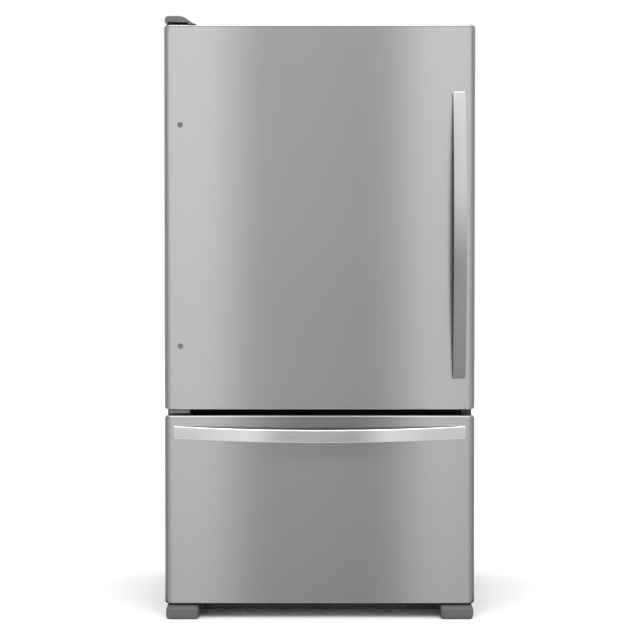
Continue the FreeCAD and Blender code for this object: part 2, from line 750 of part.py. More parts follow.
def back_panel():
    """Flat steel back over the foam, above the machine room."""
    panel = Piece("back_panel")
    top = s.cabinet_top - s.shell_sheet
    corner = s.cabinet_corner - s.shell_sheet
    bottom = machine_room_top + s.pan_sheet
    outline = [(-shell_inside, bottom), (shell_inside, bottom),
               (shell_inside, top, corner), (-shell_inside, top, corner)]
    panel.pad("XZ", cabinet_rear - s.shell_sheet, cabinet_rear, outline)


def base_pan():
    """Bottom sheet that steps up over the machine room."""
    pan = Piece("base_pan")
    bottom = s.cabinet_bottom
    roof = machine_room_top
    rear = cabinet_rear - s.shell_sheet
    profile = [(pan_front, bottom), (machine_front, bottom), (machine_front, roof), (rear, roof),
               (rear, roof + s.pan_sheet), (machine_front - s.pan_sheet, roof + s.pan_sheet),
               (machine_front - s.pan_sheet, floor_sheet_top), (pan_front, floor_sheet_top)]
    pan.pad("YZ", -shell_inside, shell_inside, profile)


def insulation():
    """Foam between the steel shell and the two liners."""
    foam = Piece("insulation")
    front = pan_front
    rear = cabinet_rear - s.shell_sheet
    roof = machine_room_top + s.pan_sheet
    wall = machine_front - s.pan_sheet
    top = s.cabinet_top - s.shell_sheet
    corner = s.cabinet_corner - s.shell_sheet
    outline = [(-shell_inside, floor_sheet_top), (shell_inside, floor_sheet_top),
               (shell_inside, top, corner), (-shell_inside, top, corner)]
    foam.pad("XZ", front, rear, outline)
    foam.cut("YZ", -shell_inside, shell_inside, rectangle(wall, rear, floor_sheet_top, roof))
    side = inside + s.liner_wall
    fridge = rectangle(-side, side, fridge_floor - s.liner_wall, fridge_ceiling + s.liner_wall,
                       s.liner_corner + s.liner_wall)
    foam.cut("XZ", front, cavity_rear + s.liner_wall, fridge)
    freezer = [(front, freezer_floor - s.liner_wall),
               (freezer_step_face + s.liner_wall, freezer_floor - s.liner_wall),
               (freezer_step_face + s.liner_wall, freezer_step_top - s.liner_wall),
               (cavity_rear + s.liner_wall, freezer_step_top - s.liner_wall),
               (cavity_rear + s.liner_wall, freezer_ceiling + s.liner_wall),
               (front, freezer_ceiling + s.liner_wall)]
    foam.cut("YZ", -side, side, freezer)
    lip = cabinet_front + s.liner_wall
    foam.cut("XZ", front, lip, rectangle(-flange_inside, flange_inside, floor_sheet_top,
                                         s.cabinet_top - s.front_flange))
    foam.cut("YZ", -flange_inside, flange_inside,
             rectangle(lip, cabinet_front + s.rail_depth, rail_bottom, rail_top))


def fridge_liner():
    """White plastic tub of the upper compartment, with ledges for the crispers' cover."""
    liner = Piece("fridge_liner")
    side = inside + s.liner_wall
    floor = fridge_floor
    back = cavity_rear + s.liner_wall
    lip = cabinet_front + s.liner_wall
    flange_top = s.cabinet_top - s.front_flange
    outer = rectangle(-side, side, floor - s.liner_wall, fridge_ceiling + s.liner_wall,
                      s.liner_corner + s.liner_wall)
    liner.pad("XZ", lip, back, outer)
    liner.pad("XZ", cabinet_front, lip, rectangle(-flange_inside, flange_inside, rail_top, flange_top))
    liner.cut("XZ", cabinet_front, cavity_rear,
              rectangle(-inside, inside, floor, fridge_ceiling, s.liner_corner))
    for low, high in ((-inside, s.ledge_width - inside), (inside - s.ledge_width, inside)):
        liner.pad("XZ", shelf_front_y, shelf_rear_y,
                  rectangle(low, high, crisper_frame_bottom - s.ledge_height, crisper_frame_bottom))


def freezer_liner():
    """White plastic tub of the lower compartment; its floor steps up over the machine room."""
    liner = Piece("freezer_liner")
    side = inside + s.liner_wall
    wall = s.liner_wall
    lip = cabinet_front + wall
    floor = freezer_floor
    ceiling = freezer_ceiling
    outer = [(lip, floor - wall), (freezer_step_face + wall, floor - wall),
             (freezer_step_face + wall, freezer_step_top - wall),
             (cavity_rear + wall, freezer_step_top - wall),
             (cavity_rear + wall, ceiling + wall), (lip, ceiling + wall)]
    liner.pad("YZ", -side, side, outer)
    liner.pad("XZ", cabinet_front, lip,
              rectangle(-flange_inside, flange_inside, floor_sheet_top, rail_bottom))
    hollow = [(cabinet_front, floor), (freezer_step_face, floor), (freezer_step_face, freezer_step_top),
              (cavity_rear, freezer_step_top), (cavity_rear, ceiling), (cabinet_front, ceiling)]
    liner.cut("YZ", -inside, inside, hollow)
    ledge_front = cabinet_front + s.upper_basket_setback
    for low, high in ((-inside, s.ledge_width - inside), (inside - s.ledge_width, inside)):
        liner.pad("XZ", ledge_front, ledge_front + s.upper_basket_depth,
                  rectangle(low, high, ledge_bottom, ledge_bottom + s.ledge_height))


def mullion_rail():
    """Steel channel across the front between the two compartments."""
    rail = Piece("mullion_rail")
    back = cabinet_front + s.rail_depth
    sheet = s.pan_sheet
    profile = [(cabinet_front, rail_bottom), (back, rail_bottom), (back, rail_bottom + sheet),
               (cabinet_front + sheet, rail_bottom + sheet), (cabinet_front + sheet, rail_top - sheet),
               (back, rail_top - sheet), (back, rail_top), (cabinet_front, rail_top)]
    rail.pad("YZ", -flange_inside, flange_inside, profile)


# ---------------------------------------------------------------- hinges

cover_outside = s.cover_inset - half_door
cover_inside = cover_outside + s.cover_width
cover_front = door_face + s.cover_front_inset
cover_back = cabinet_front + s.cover_rear
cover_flat_end = cover_inside - s.cover_slope
plate_left = cover_outside + s.cover_wall + s.cover_front_inset
plate_right = plate_left + s.hinge_plate_width
plate_front = hinge_y - s.arm_margin
plate_back = cabinet_front + s.hinge_plate_rear
arm_top = door_bottom - s.arm_top_gap
arm_bottom = arm_top - s.arm_thickness
arm_left = hinge_x - s.arm_side_margin
arm_front = hinge_y - s.arm_margin
flange_face = cabinet_front - s.hinge_flange
flange_low = (rail_top + rail_bottom - s.hinge_flange_height) / 2
flange_high = flange_low + s.hinge_flange_height


def top_hinge():
    """Plate bolted to the cabinet's top, with the pin that enters the door."""
    hinge = Piece("top_hinge")
    bottom = s.cabinet_top
    tip = hinge_x + s.arm_margin
    outline = [(plate_left, plate_front), (tip, plate_front), (plate_right, cabinet_front),
               (plate_right, plate_back), (plate_left, plate_back)]
    hinge.pad("XY", bottom, bottom + s.hinge_plate, outline)
    hinge.pad("XY", door_top - s.pin_depth, bottom, Ring((hinge_x, hinge_y), s.pin_radius))


def hinge_cover():
    """Moulded cover over the top hinge; its inner side slopes down to the door."""
    cover = Piece("hinge_cover")
    bottom = s.cabinet_top
    top = bottom + s.cover_rise
    run = s.cover_slope
    slope = (run * run + s.cover_rise * s.cover_rise) / (s.cover_rise * 2)
    profile = [(cover_outside, bottom), (cover_inside, bottom), Bend(slope, True),
               (cover_flat_end, top), (cover_outside, top, s.cover_shoulder)]
    cover.pad("XZ", cover_front, cover_back, corner_before_bend(profile))
    cover.pad("XZ", cover_front, door_back, rectangle(
        cover_inside - s.cover_skirt, cover_inside, door_top + s.cover_skirt_gap, bottom))
    hollow_right = plate_right + s.seat_gap
    cover.cut("XZ", cover_front + s.cover_wall, cover_back - s.cover_wall, rectangle(
        cover_outside + s.cover_wall, hollow_right, bottom, bottom + s.cover_hollow_height))
    cover.cut("XZ", cover_front, cover_front + s.cover_wall, rectangle(
        cover_outside + s.cover_wall, cover_inside - s.cover_skirt, bottom, bottom + s.cover_lip_rise))


def corner_before_bend(profile):
    """The profile with its rounded last corner written out, so that an arc may stand beside it."""
    *points, (a, b, radius) = profile
    return [*points, (a + radius, b), Bend(radius, True), (a, b - radius)]


def center_hinge():
    """Arm and pin below the door, on a flange screwed to the centre rail."""
    hinge = Piece("center_hinge")
    right = arm_left + s.arm_width
    hinge.pad("XZ", flange_face, cabinet_front, rectangle(arm_left, right, flange_low, flange_high))
    hinge.pad("XY", arm_bottom, arm_top, rectangle(arm_left, right, arm_front, flange_face))
    hinge.pad("XY", arm_top, door_bottom + s.pin_depth, Ring((hinge_x, hinge_y), s.pin_radius))


# ---------------------------------------------------------------- faces of the door and the drawer


class Face:
    """The built-up front of one compartment: steel skin, foam, inner sheet and seal."""

    def __init__(self, name, bottom, top):
        self.name = name
        self.bottom = bottom
        self.top = top

    def solid(self, piece, inset, front, back):
        """The face's outer form, drawn in by an inset and reaching from front to back."""
        side = half_door - inset
        radius = s.door_plan_radius - inset
        plan = [(side, back), (-side, back), (-side, front, radius), (side, front, radius)]
        piece.pad("XY", self.bottom + inset, self.top - inset, plan)
        ends = either(at("z", self.bottom + inset), at("z", self.top - inset))
        rear = at("y", back)
        piece.round(s.door_edge_radius - inset, lambda edge: ends(edge) and not rear(edge))

    def skin(self):
        """Steel sheet folded round the front, the sides and both ends."""
        outer = Piece(f"{self.name}_skin_outside", is_node=False)
        self.solid(outer, 0, door_face, door_back)
        hollow = Piece(f"{self.name}_skin_hollow", is_node=False)
        self.solid(hollow, s.skin_sheet, door_face + s.skin_sheet, door_back)
        return outer.body, hollow.body

    def foam(self):
        """Foam that fills the skin up to the inner sheet."""
        fill = Piece(f"{self.name}_foam_fill", is_node=False)
        self.solid(fill, s.skin_sheet, door_face + s.skin_sheet, foam_back)
        return fill.body

    def liner(self):
        """Inner sheet that closes the back, with a raised rim that reaches into the compartment."""
        sheet = Piece(f"{self.name}_liner")
        side = half_door - s.skin_sheet
        sheet.pad("XZ", foam_back, door_back, rectangle(
            -side, side, self.bottom + s.skin_sheet, self.top - s.skin_sheet,
            s.door_edge_radius - s.skin_sheet))
        low = self.bottom + s.dike_end_inset
        high = self.top - s.dike_end_inset
        rim = rectangle(-dike_outside, dike_outside, low, high, s.liner_corner)
        hole = rectangle(-dike_inside, dike_inside, low + s.dike_width, high - s.dike_width)
        sheet.pad("XZ", door_back, dike_back, rim, hole)
        return sheet

    def gasket(self):
        """Magnetic seal between the face and the cabinet's front."""
        seal = Piece(f"{self.name}_gasket")
        side = half_door - s.gasket_side_inset
        low = self.bottom + s.gasket_end_inset
        high = self.top - s.gasket_end_inset
        width = s.gasket_width
        seal.pad("XZ", door_back, cabinet_front, rectangle(-side, side, low, high),
                 rectangle(width - side, side - width, low + width, high - width))


door_face_parts = Face("door", door_bottom, door_top)
drawer_face_parts = Face("drawer", drawer_bottom, drawer_top)
handle_x = half_door - s.door_handle_inset
door_handle_bottom = door_bottom + s.door_handle_foot
door_handle_top = door_top - s.door_handle_head
lower_post = door_handle_bottom + s.post_inset
upper_post = door_handle_top - s.post_inset
bushing_rim = s.arm_top_gap - s.seat_gap
bore_depth = s.bushing_length - s.bushing_floor


def door_plugs():
    """Plugs in the handle holes of the hinge side, which wait for a reversed door."""
    plugs = []
    for height in (lower_post, upper_post):
        plugs.append(rod("plug", "Y", (-handle_x, height), s.plug_radius,
                         (door_face - s.plug_proud, door_face + s.plug_depth)))
    group("door_plugs", plugs)


def door_bushings():
    """Plastic sleeves for the hinge pins, closed at their inner ends."""
    sleeves = []
    bore = s.pin_radius + s.running_fit
    low = door_bottom - bushing_rim
    high = door_top + bushing_rim
    ends = ((low, low + s.bushing_length, low, low + bore_depth),
            (high - s.bushing_length, high, high - bore_depth, high))
    for bottom, top, bore_bottom, bore_top in ends:
        sleeve = rod("sleeve", "Z", (hinge_x, hinge_y), s.bushing_radius, (bottom, top))
        hole = rod("sleeve_bore", "Z", (hinge_x, hinge_y), bore, (bore_bottom, bore_top))
        sleeves.append(cut_out("bushing", sleeve, hole))
    group("door_bushings", sleeves)


def holes_in_door(name):
    """Room in the door for its bushings and plugs."""
    reach = s.bushing_length - bushing_rim
    tools = [rod(f"{name}_low_hole", "Z", (hinge_x, hinge_y), s.bushing_radius,
                 (door_bottom - bushing_rim, door_bottom + reach)),
             rod(f"{name}_high_hole", "Z", (hinge_x, hinge_y), s.bushing_radius,
                 (door_top - reach, door_top + bushing_rim))]
    for height in (lower_post, upper_post):
        tools.append(rod(f"{name}_plug_hole", "Y", (-handle_x, height), s.plug_radius,
                         (door_face - s.plug_proud, door_face + s.plug_depth)))
    return tools


def faces():
    """Skins, foam, inner sheets and seals of the door and of the drawer front."""
    outer, hollow = door_face_parts.skin()
    node(cut_out("door_skin", outer, hollow, *holes_in_door("skin")), "door_skin")
    foam = door_face_parts.foam()
    node(cut_out("door_foam", foam, *holes_in_door("foam")), "door_foam")
    outer, hollow = drawer_face_parts.skin()
    node(cut_out("drawer_skin", outer, hollow), "drawer_skin")
    node(drawer_face_parts.foam(), "drawer_foam")
    for face in (door_face_parts, drawer_face_parts):
        face.liner()
        face.gasket()


# ---------------------------------------------------------------- handles


def bow_radius(length, bow):
    """Radius of an arc from its chord and its height."""
    return (length * length / 4 + bow * bow) / (bow * 2)


def door_handle():
    """Upright bar bowed away from the door, on two round posts."""
    handle = Piece("door_handle")
    low = door_handle_bottom
    high = door_handle_top
    outer = bow_radius(high - low, s.handle_bow)
    front = door_face - s.handle_reach + s.handle_bow
    profile = [(front, high), Bend(outer, True), (front, low), (front + s.handle_thickness, low),
               Bend(outer - s.handle_thickness / 2, False), (front + s.handle_thickness, high)]
    half = s.handle_width / 2
    handle.pad("YZ", handle_x - half, handle_x + half, profile)
    handle.bevel(s.handle_edge, either(at("x", handle_x - half), at("x", handle_x + half)))
    share = post_share(high - low)
    deep = door_face - (s.handle_reach - s.handle_thickness - s.handle_bow * share) - s.handle_edge
    for height in (lower_post, upper_post):
        handle.pad("XZ", deep, door_face, Ring((handle_x, height), s.post_radius))


def post_share(length):
    """How much of the bow is lost at a post, as a share of the whole bow."""
    from_middle = length / 2 - s.post_inset
    return (from_middle * from_middle * 4) / (length * length)


def drawer_handle():
    """Level bar bowed away from the drawer front and dipping a little in its middle."""
    half_length = half_door - s.drawer_handle_inset
    length = half_length * 2
    radius = bow_radius(length, s.handle_bow)
    front = door_face - s.handle_reach + s.handle_bow
    back = front + s.handle_thickness
    half = s.handle_width / 2
    height = drawer_top - s.drawer_handle_drop
    dip = bow_radius(length, s.drawer_handle_sag)
    plan = Piece("drawer_handle_plan", is_node=False)
    plan.pad("XY", height - half - s.drawer_handle_sag * 2, height + half + s.drawer_handle_sag,
             [(-half_length, front), Bend(radius, True), (half_length, front), (half_length, back),
              Bend(radius - s.handle_thickness / 2, False), (-half_length, back)])
    face = Piece("drawer_handle_face", is_node=False)
    face.pad("XZ", front - s.handle_bow * 2, back + s.handle_bow,
             [(-half_length, height - half), Bend(dip, True), (half_length, height - half),
              (half_length, height + half), Bend(dip, False), (-half_length, height + half)])
    bar = document.addObject("Part::MultiCommon", "drawer_handle_bar")
    bar.Shapes = [plan.body, face.body]
    share = post_share(length)
    deep = door_face - (s.handle_reach - s.handle_thickness - s.handle_bow * share) - s.handle_edge
    dropped = height - s.drawer_handle_sag * (1 - share)
    posts = []
    for side in (-1, 1):
        posts.append(rod("drawer_handle_post", "Y", (side * (half_length - s.post_inset), dropped),
                         s.post_radius, (deep, door_face)))
    node(fused("drawer_handle", bar, *posts), "drawer_handle")


# ---------------------------------------------------------------- door bins


def tray(label, x, y, z, wall, is_node=True):
    """An open-topped tub between two places on each axis, with rounded upright edges."""
    tub = Piece(label, is_node)
    corner = s.bin_corner
    tub.pad("XY", z[0], z[1], rectangle(x[0], x[1], y[0], y[1], corner))
    tub.cut("XY", z[0] + wall, z[1], rectangle(
        x[0] + wall, x[1] - wall, y[0] + wall, y[1] - wall, corner - wall))
    return tub


def door_bins():
    """Two full-width bins and the large bottle bin below them."""
    depth = (door_back, bin_back)
    gallon_bottom = door_bottom + dike_end + s.gallon_bin_gap
    gallon_top = gallon_bottom + s.gallon_bin_height
    upper = dairy_bottom - s.upper_bin_head - s.bin_height
    lower = (gallon_top + upper - s.bin_height) / 2 + s.lower_bin_lift
    bins = []
    for name, bottom in (("door_bin_lower", lower), ("door_bin_upper", upper)):
        top = bottom + s.bin_height
        tub = tray(name, (-bin_half, bin_half), depth, (bottom, top), s.bin_wall, is_node=False)
        bins.append(tub.body)
    group("door_bins", bins)
    tray("gallon_bin", (-bin_half, bin_half), depth, (gallon_bottom, gallon_top), s.bin_wall)


dairy_right = s.dairy_width - bin_half
dairy_top = door_top - dike_end - s.dairy_gap
dairy_bottom = dairy_top - s.dairy_height
dairy_low = s.dairy_wall - bin_half
dairy_high = dairy_right - s.dairy_wall
flap_axis_y = bin_back - s.flap_knuckle
flap_axis_z = dairy_top - s.flap_knuckle


def dairy_bin():
    """Covered compartment at the door's top, open towards the shelves."""
    compartment = Piece("dairy_bin")
    compartment.pad("XY", dairy_bottom, dairy_top, rectangle(-bin_half, dairy_right, door_back, bin_back))
    wall = s.bin_wall
    compartment.cut("XZ", door_back + wall, bin_back, rectangle(
        dairy_low, dairy_high, dairy_bottom + wall, dairy_top - wall))
    notch = flap_axis_y - s.flap_knuckle - s.seat_gap
    compartment.cut("XZ", notch, bin_back, rectangle(dairy_low, dairy_high, dairy_top - wall, dairy_top))
    bore = Ring((flap_axis_y, flap_axis_z), s.flap_pin + s.running_fit)
    compartment.cut("YZ", dairy_low - s.flap_pin_length, dairy_high + s.flap_pin_length, bore)


def dairy_flap():
    """Clear flap that swings up about pins in its top corners."""
    flap = Piece("dairy_flap")
    low = dairy_low + s.seat_gap
    high = dairy_high - s.seat_gap
    reach = s.flap_pin_length
    axis = (flap_axis_y, flap_axis_z)
    flap.pad("YZ", low, high, rectangle(
        bin_back - s.flap_thickness, bin_back, dairy_bottom + s.bin_wall + s.seat_gap, flap_axis_z))
    flap.pad("YZ", low, high, Ring(axis, s.flap_knuckle))
    flap.pad("YZ", low - reach, high + reach, Ring(axis, s.flap_pin))


# ---------------------------------------------------------------- shelves, crispers, duct, control


def framed_shelf(label, bottom):
    """A plastic frame with a ledge for its glass and hooks for the shelf tracks."""
    frame = Piece(label, is_node=False)
    top = bottom + s.shelf_height
    frame.pad("XY", bottom, top, rectangle(
        -shelf_half, shelf_half, shelf_front_y, shelf_rear_y, s.shelf_height / 2))
    rest = s.shelf_rail
    frame.cut("XY", bottom, top, rectangle(
        rest - shelf_half, shelf_half - rest, shelf_front_y + rest, shelf_rear_y - rest))
    ledge = rest - s.glass_rest
    frame.cut("XY", top - s.glass_thickness - s.seat_gap, top, rectangle(
        ledge - shelf_half, shelf_half - ledge, shelf_front_y + ledge, shelf_rear_y - ledge))
    return frame


def glass_pane(name, bottom):
    """Glass that lies on the ledge of a shelf frame."""
    edge = s.shelf_rail - s.glass_rest + s.seat_gap
    low = bottom + s.shelf_height - s.glass_thickness
    return block(name, (edge - shelf_half, shelf_half - edge),
                 (shelf_front_y + edge, shelf_rear_y - edge),
                 (low - s.seat_gap, low + s.glass_thickness - s.seat_gap))


def shelves():
    """Three glass shelves on tracks, and the glass over the crispers."""
    frames = []
    panes = [glass_pane("crisper_pane", crisper_frame_bottom)]
    ladder_front = cavity_rear - s.ladder_depth
    for index in range(3):
        bottom = lowest_shelf + s.shelf_pitch * index
        frame = framed_shelf(f"shelf_frame_{index + 1}", bottom)
        for side in (-1, 1):
            middle = side * s.ladder_spacing / 2
            half = s.ladder_slot / 2 - s.seat_gap
            hook_top = bottom + s.shelf_height
            frame.pad("XZ", shelf_rear_y - s.shelf_rail + s.glass_rest, ladder_front,
                      rectangle(middle - half, middle + half, bottom, hook_top))
        frames.append(frame.body)
        panes.append(glass_pane(f"shelf_pane_{index + 1}", bottom))
    group("shelf_frames", frames)
    group("glass_shelves", panes)


def shelf_ladders():
    """Two slotted steel tracks on the rear wall."""
    tracks = []
    foot = lowest_shelf - s.ladder_foot
    head = fridge_ceiling - s.ladder_head
    for name, side in (("ladder_left", -1), ("ladder_right", 1)):
        track = Piece(name, is_node=False)
        middle = side * s.ladder_spacing / 2
        half = s.ladder_width / 2
        front = cavity_rear - s.ladder_depth
        track.pad("XZ", front, cavity_rear, rectangle(middle - half, middle + half, foot, head))
        slot = s.ladder_slot / 2
        low = foot + s.ladder_pitch / 2
        slots = track.cut("XZ", front, cavity_rear - s.pan_sheet, rectangle(
            middle - slot, middle + slot, low, low + s.ladder_slot_height))
        count = int(number_of((head - foot) / s.ladder_pitch)) - 1
        track.repeat(slots, "Z", s.ladder_pitch, count)
        tracks.append(track.body)
    group("shelf_ladders", tracks)


def crisper_frame():
    """Cover frame over the crispers, with the divider between them."""
    frame = framed_shelf("crisper_frame", crisper_frame_bottom)
    half = s.crisper_divider / 2
    frame.pad("XZ", shelf_front_y, shelf_rear_y, rectangle(-half, half, fridge_floor, crisper_frame_bottom))
    flange = s.divider_flange / 2
    frame.pad("XZ", shelf_front_y, shelf_rear_y, rectangle(
        -flange, flange, crisper_frame_bottom, crisper_frame_bottom + s.shelf_height / 2))
    node(frame.body, "crisper_frame")


def crispers():
    """Two clear drawers that slide on the compartment's floor."""
    gap = s.crisper_side_gap
    near = s.crisper_divider / 2 + gap
    far = inside - s.ledge_width - gap
    bottom = fridge_floor + s.seat_gap
    front = shelf_front_y
    back = front + s.crisper_depth
    grip_low = crisper_top - s.grip_drop
    for label, low, high in (("crisper_left", -far, -near), ("crisper_right", near, far)):
        tub = tray(label, (low, high), (front, back), (bottom, crisper_top), s.bin_wall)
        tub.pad("YZ", low + s.bin_corner, high - s.bin_corner, rectangle(
            front - s.crisper_grip, front + s.bin_wall, grip_low, grip_low + s.grip_thickness))


def air_duct():
    """Duct up the rear wall with a row of outlets."""
    duct = Piece("air_duct")
    half = s.duct_width / 2
    foot = crisper_frame_top + s.duct_foot
    head = fridge_ceiling - s.duct_head
    front = cavity_rear - s.duct_depth
    wall = s.bin_wall
    duct.pad("XZ", front, cavity_rear, rectangle(-half, half, foot, head))
    duct.cut("XZ", front + wall, cavity_rear, rectangle(
        wall - half, half - wall, foot + wall, head - wall))
    slot = s.duct_slot_width / 2
    low = foot + s.duct_slot_pitch / 2
    slots = duct.cut("XZ", front, front + wall, rectangle(-slot, slot, low, low + s.duct_slot_height))
    count = int(number_of((head - foot) / s.duct_slot_pitch))
    duct.repeat(slots, "Z", s.duct_slot_pitch, count)


control_face = cabinet_front + s.control_front
control_bottom = fridge_ceiling - s.control_height
dial_height = control_bottom + s.control_height / 2


def control_housing():
    """Housing under the ceiling that carries the dial and the light."""
    housing = Piece("control_housing")
    half = s.control_width / 2
    back = control_face + s.control_depth
    wall = s.bin_wall
    housing.pad("XY", control_bottom, fridge_ceiling, rectangle(
        -half, half, control_face, back, s.liner_corner))
    thick = s.dial_shaft_length + wall
    housing.cut("XY", control_bottom + wall, fridge_ceiling, rectangle(
        wall - half, half - wall, control_face + thick, back - wall))
    housing.cut("XZ", control_face, control_face + s.dial_shaft_length,
                Ring((s.control_width / 4, dial_height), s.dial_shaft + s.running_fit))


def dial():
    """Temperature dial on the housing's front."""
    dial = Piece("temperature_dial")
    front = control_face - s.seat_gap - s.dial_length
    centre = (s.control_width / 4, dial_height)
    dial.pad("XZ", front, control_face - s.seat_gap, Ring(centre, s.dial_radius))
    dial.bevel(s.dial_edge, at("y", front))
    dial.pad("XZ", control_face - s.seat_gap, control_face + s.dial_shaft_length - s.seat_gap,
             Ring(centre, s.dial_shaft))
    dial.cut("XZ", front, front + s.dial_edge, rectangle(
        centre[0] - s.dial_edge, centre[0] + s.dial_edge, dial_height, dial_height + s.dial_radius / 2))


def light_lens():
    """Milky lens under the control housing."""
    lens = Piece("light_lens")
    half = s.lens_width / 2
    front = control_face + s.control_depth / 2 - s.lens_depth / 2
    lens.pad("XY", control_bottom - s.lens_drop, control_bottom, rectangle(
        -half, half, front, front + s.lens_depth, s.lens_drop))
    lens.round(s.lens_drop / 2, at("z", control_bottom - s.lens_drop))


# ---------------------------------------------------------------- cooling

evaporator_cover_y = cavity_rear - s.evaporator_cover_gap
evaporator_y = cavity_rear - s.evaporator_gap - s.evaporator_depth
evaporator_bottom = freezer_step_top + s.evaporator_gap
evaporator_fan_height = freezer_ceiling - s.evaporator_fan_drop
evaporator_frame_foot = evaporator_fan_height - s.fan_frame / 2
evaporator_top = evaporator_frame_foot - s.evaporator_head
fan_hole = s.fan_radius + s.fan_tip_gap
evaporator_fan_y = evaporator_cover_y + s.evaporator_cover_sheet + s.seat_gap


def finned_coil(label, x, y, z):
    """Thin fins on two levels of tube that pass right through them."""
    coil = Piece(label)
    rows = []
    for depth in (y[0] + (y[1] - y[0]) / 4, y[1] - (y[1] - y[0]) / 4):
        for height in (z[0] + (z[1] - z[0]) / 4, z[1] - (z[1] - z[0]) / 4):
            rows.append(Ring((depth, height), s.tube_radius))
    first = x[0] + s.fin_pitch / 2
    coil.pad("YZ", x[0], x[1], *rows)
    fin = coil.pad("YZ", first, first + s.fin_sheet, rectangle(y[0], y[1], z[0], z[1]))
    count = int(number_of((x[1] - x[0]) / s.fin_pitch))
    coil.repeat(fin, "X", s.fin_pitch, count)
    return coil


def evaporator():
    half = s.evaporator_width / 2
    coil = finned_coil("evaporator", (-half, half), (evaporator_y, evaporator_y + s.evaporator_depth),
                       (evaporator_bottom, evaporator_top))
    foot = s.fin_pitch / 2
    for low in (-half, half - foot):
        coil.pad("YZ", low, low + foot, rectangle(
            evaporator_y, evaporator_y + s.evaporator_depth, freezer_step_top, evaporator_bottom + foot))


def evaporator_cover():
    """Panel in front of the evaporator, with the fan's opening."""
    cover = Piece("evaporator_cover")
    back = evaporator_cover_y + s.evaporator_cover_sheet
    edge = s.seat_gap
    cover.pad("XZ", evaporator_cover_y, back, rectangle(
        edge - inside, inside - edge, freezer_step_top + edge, freezer_ceiling - edge))
    cover.cut("XZ", evaporator_cover_y, back, Ring((0, evaporator_fan_height), s.fan_radius - s.fan_arm))


def fan_motor(name, plane, front, across, up, foot):
    """A motor held behind the fan by two arms of its square frame."""
    motor = Piece(name, is_node=False)
    half = s.fan_frame / 2
    sheet = s.fan_frame_sheet
    motor.pad(plane, front, front + sheet, rectangle(across - half, across + half, foot, up + half))
    motor.cut(plane, front, front + sheet, Ring((across, up), fan_hole))
    arm = s.fan_arm / 2
    near = front + s.fan_hub_length + s.motor_gap
    motor.pad(plane, near, near + s.motor_length, Ring((across, up), s.motor_radius))
    motor.pad(plane, near, near + sheet, rectangle(across - half, across + half, up - arm, up + arm))
    for left, right in ((across - half, across - half + arm), (across + half - arm, across + half)):
        motor.pad(plane, front, near + sheet, rectangle(left, right, up - arm, up + arm))
    depth = s.shaft_length + s.seat_gap
    motor.cut(plane, near, near + depth, Ring((across, up), s.shaft_radius + s.running_fit))
    return motor.body


def fan(label, plane, front, across, up):
    """Hub with four slanted blades and a shaft that turns in the motor."""
    rotor = Piece(f"{label}_hub", is_node=False)
    back = front + s.fan_hub_length
    rotor.pad(plane, front, back, Ring((across, up), s.fan_hub))
    shaft_end = back + s.motor_gap + s.shaft_length
    rotor.pad(plane, back - s.motor_gap, shaft_end, Ring((across, up), s.shaft_radius))
    middle = (front + back) / 2
    tilt = number_of(s.blade_tilt)
    if plane == "YZ":
        centre = (middle, across, up)
        axis = FreeCAD.Vector(1, 0, 0)
        first = FreeCAD.Rotation(FreeCAD.Vector(0, 1, 0), -90) * FreeCAD.Rotation(axis, 90 - tilt)
    else:
        centre = (across, middle, up)
        axis = FreeCAD.Vector(0, 1, 0)
        first = FreeCAD.Rotation(FreeCAD.Vector(1, 0, 0), tilt)
    solids = [rotor.body]
    for turn in (0, 90, 180, 270):
        solids.append(blade(label, centre, FreeCAD.Rotation(axis, turn) * first))
    node(fused(label, *solids), label)


def blade(label, centre, rotation):
    """One flat blade, turned about its fan's centre; it starts inside the hub."""
    sheet = document.addObject("Part::Box", f"{label}_blade")
    start = s.fan_hub / 2
    sheet.setExpression("Length", text_of(s.fan_radius - s.fan_tip_gap - start))
    sheet.setExpression("Width", text_of(s.fan_hub_length))
    sheet.setExpression("Height", text_of(s.blade_sheet))
    along = rotation.multVec(FreeCAD.Vector(1, 0, 0))
    wide = rotation.multVec(FreeCAD.Vector(0, 1, 0))
    thick = rotation.multVec(FreeCAD.Vector(0, 0, 1))
    places = []
    for index, place in enumerate(centre):
        shifted = place + start * along[index] - s.fan_hub_length / 2 * wide[index]
        places.append(shifted - s.blade_sheet / 2 * thick[index])
    return place_object(sheet, *places, rotation)


def fans():
    """Both fans with their motors."""
    motors = [
        fan_motor("evaporator_motor", "XZ", evaporator_fan_y - s.seat_gap, 0, evaporator_fan_height,
                  evaporator_frame_foot),
        fan_motor("condenser_motor", "YZ", condenser_fan_x, condenser_middle, condenser_fan_height, tray_top)]
    group("fan_motors", motors)
    fan("evaporator_fan", "XZ", evaporator_fan_y, 0, evaporator_fan_height)
    fan("condenser_fan", "YZ", condenser_fan_x + s.seat_gap, condenser_middle, condenser_fan_height)


# ---------------------------------------------------------------- machine room

condenser_middle = cabinet_rear - s.machine_room_depth / 2
condenser_bottom = tray_top
condenser_fan_height = condenser_bottom + s.condenser_height / 2
condenser_left = s.condenser_inset - half_cabinet
condenser_right = condenser_left + s.condenser_width
condenser_fan_x = condenser_right + s.condenser_fan_gap
rear_cover_back = cabinet_rear - s.rear_cover_inset
rear_cover_front = rear_cover_back - s.rear_cover_sheet
compressor_x = half_cabinet - s.compressor_inset
compressor_y = cabinet_rear - s.compressor_setback
can_bottom = tray_top + s.grommet_height + s.foot_plate_sheet
cord_x = half_cabinet - s.cord_inset
cord_height = machine_room_top - s.cord_drop


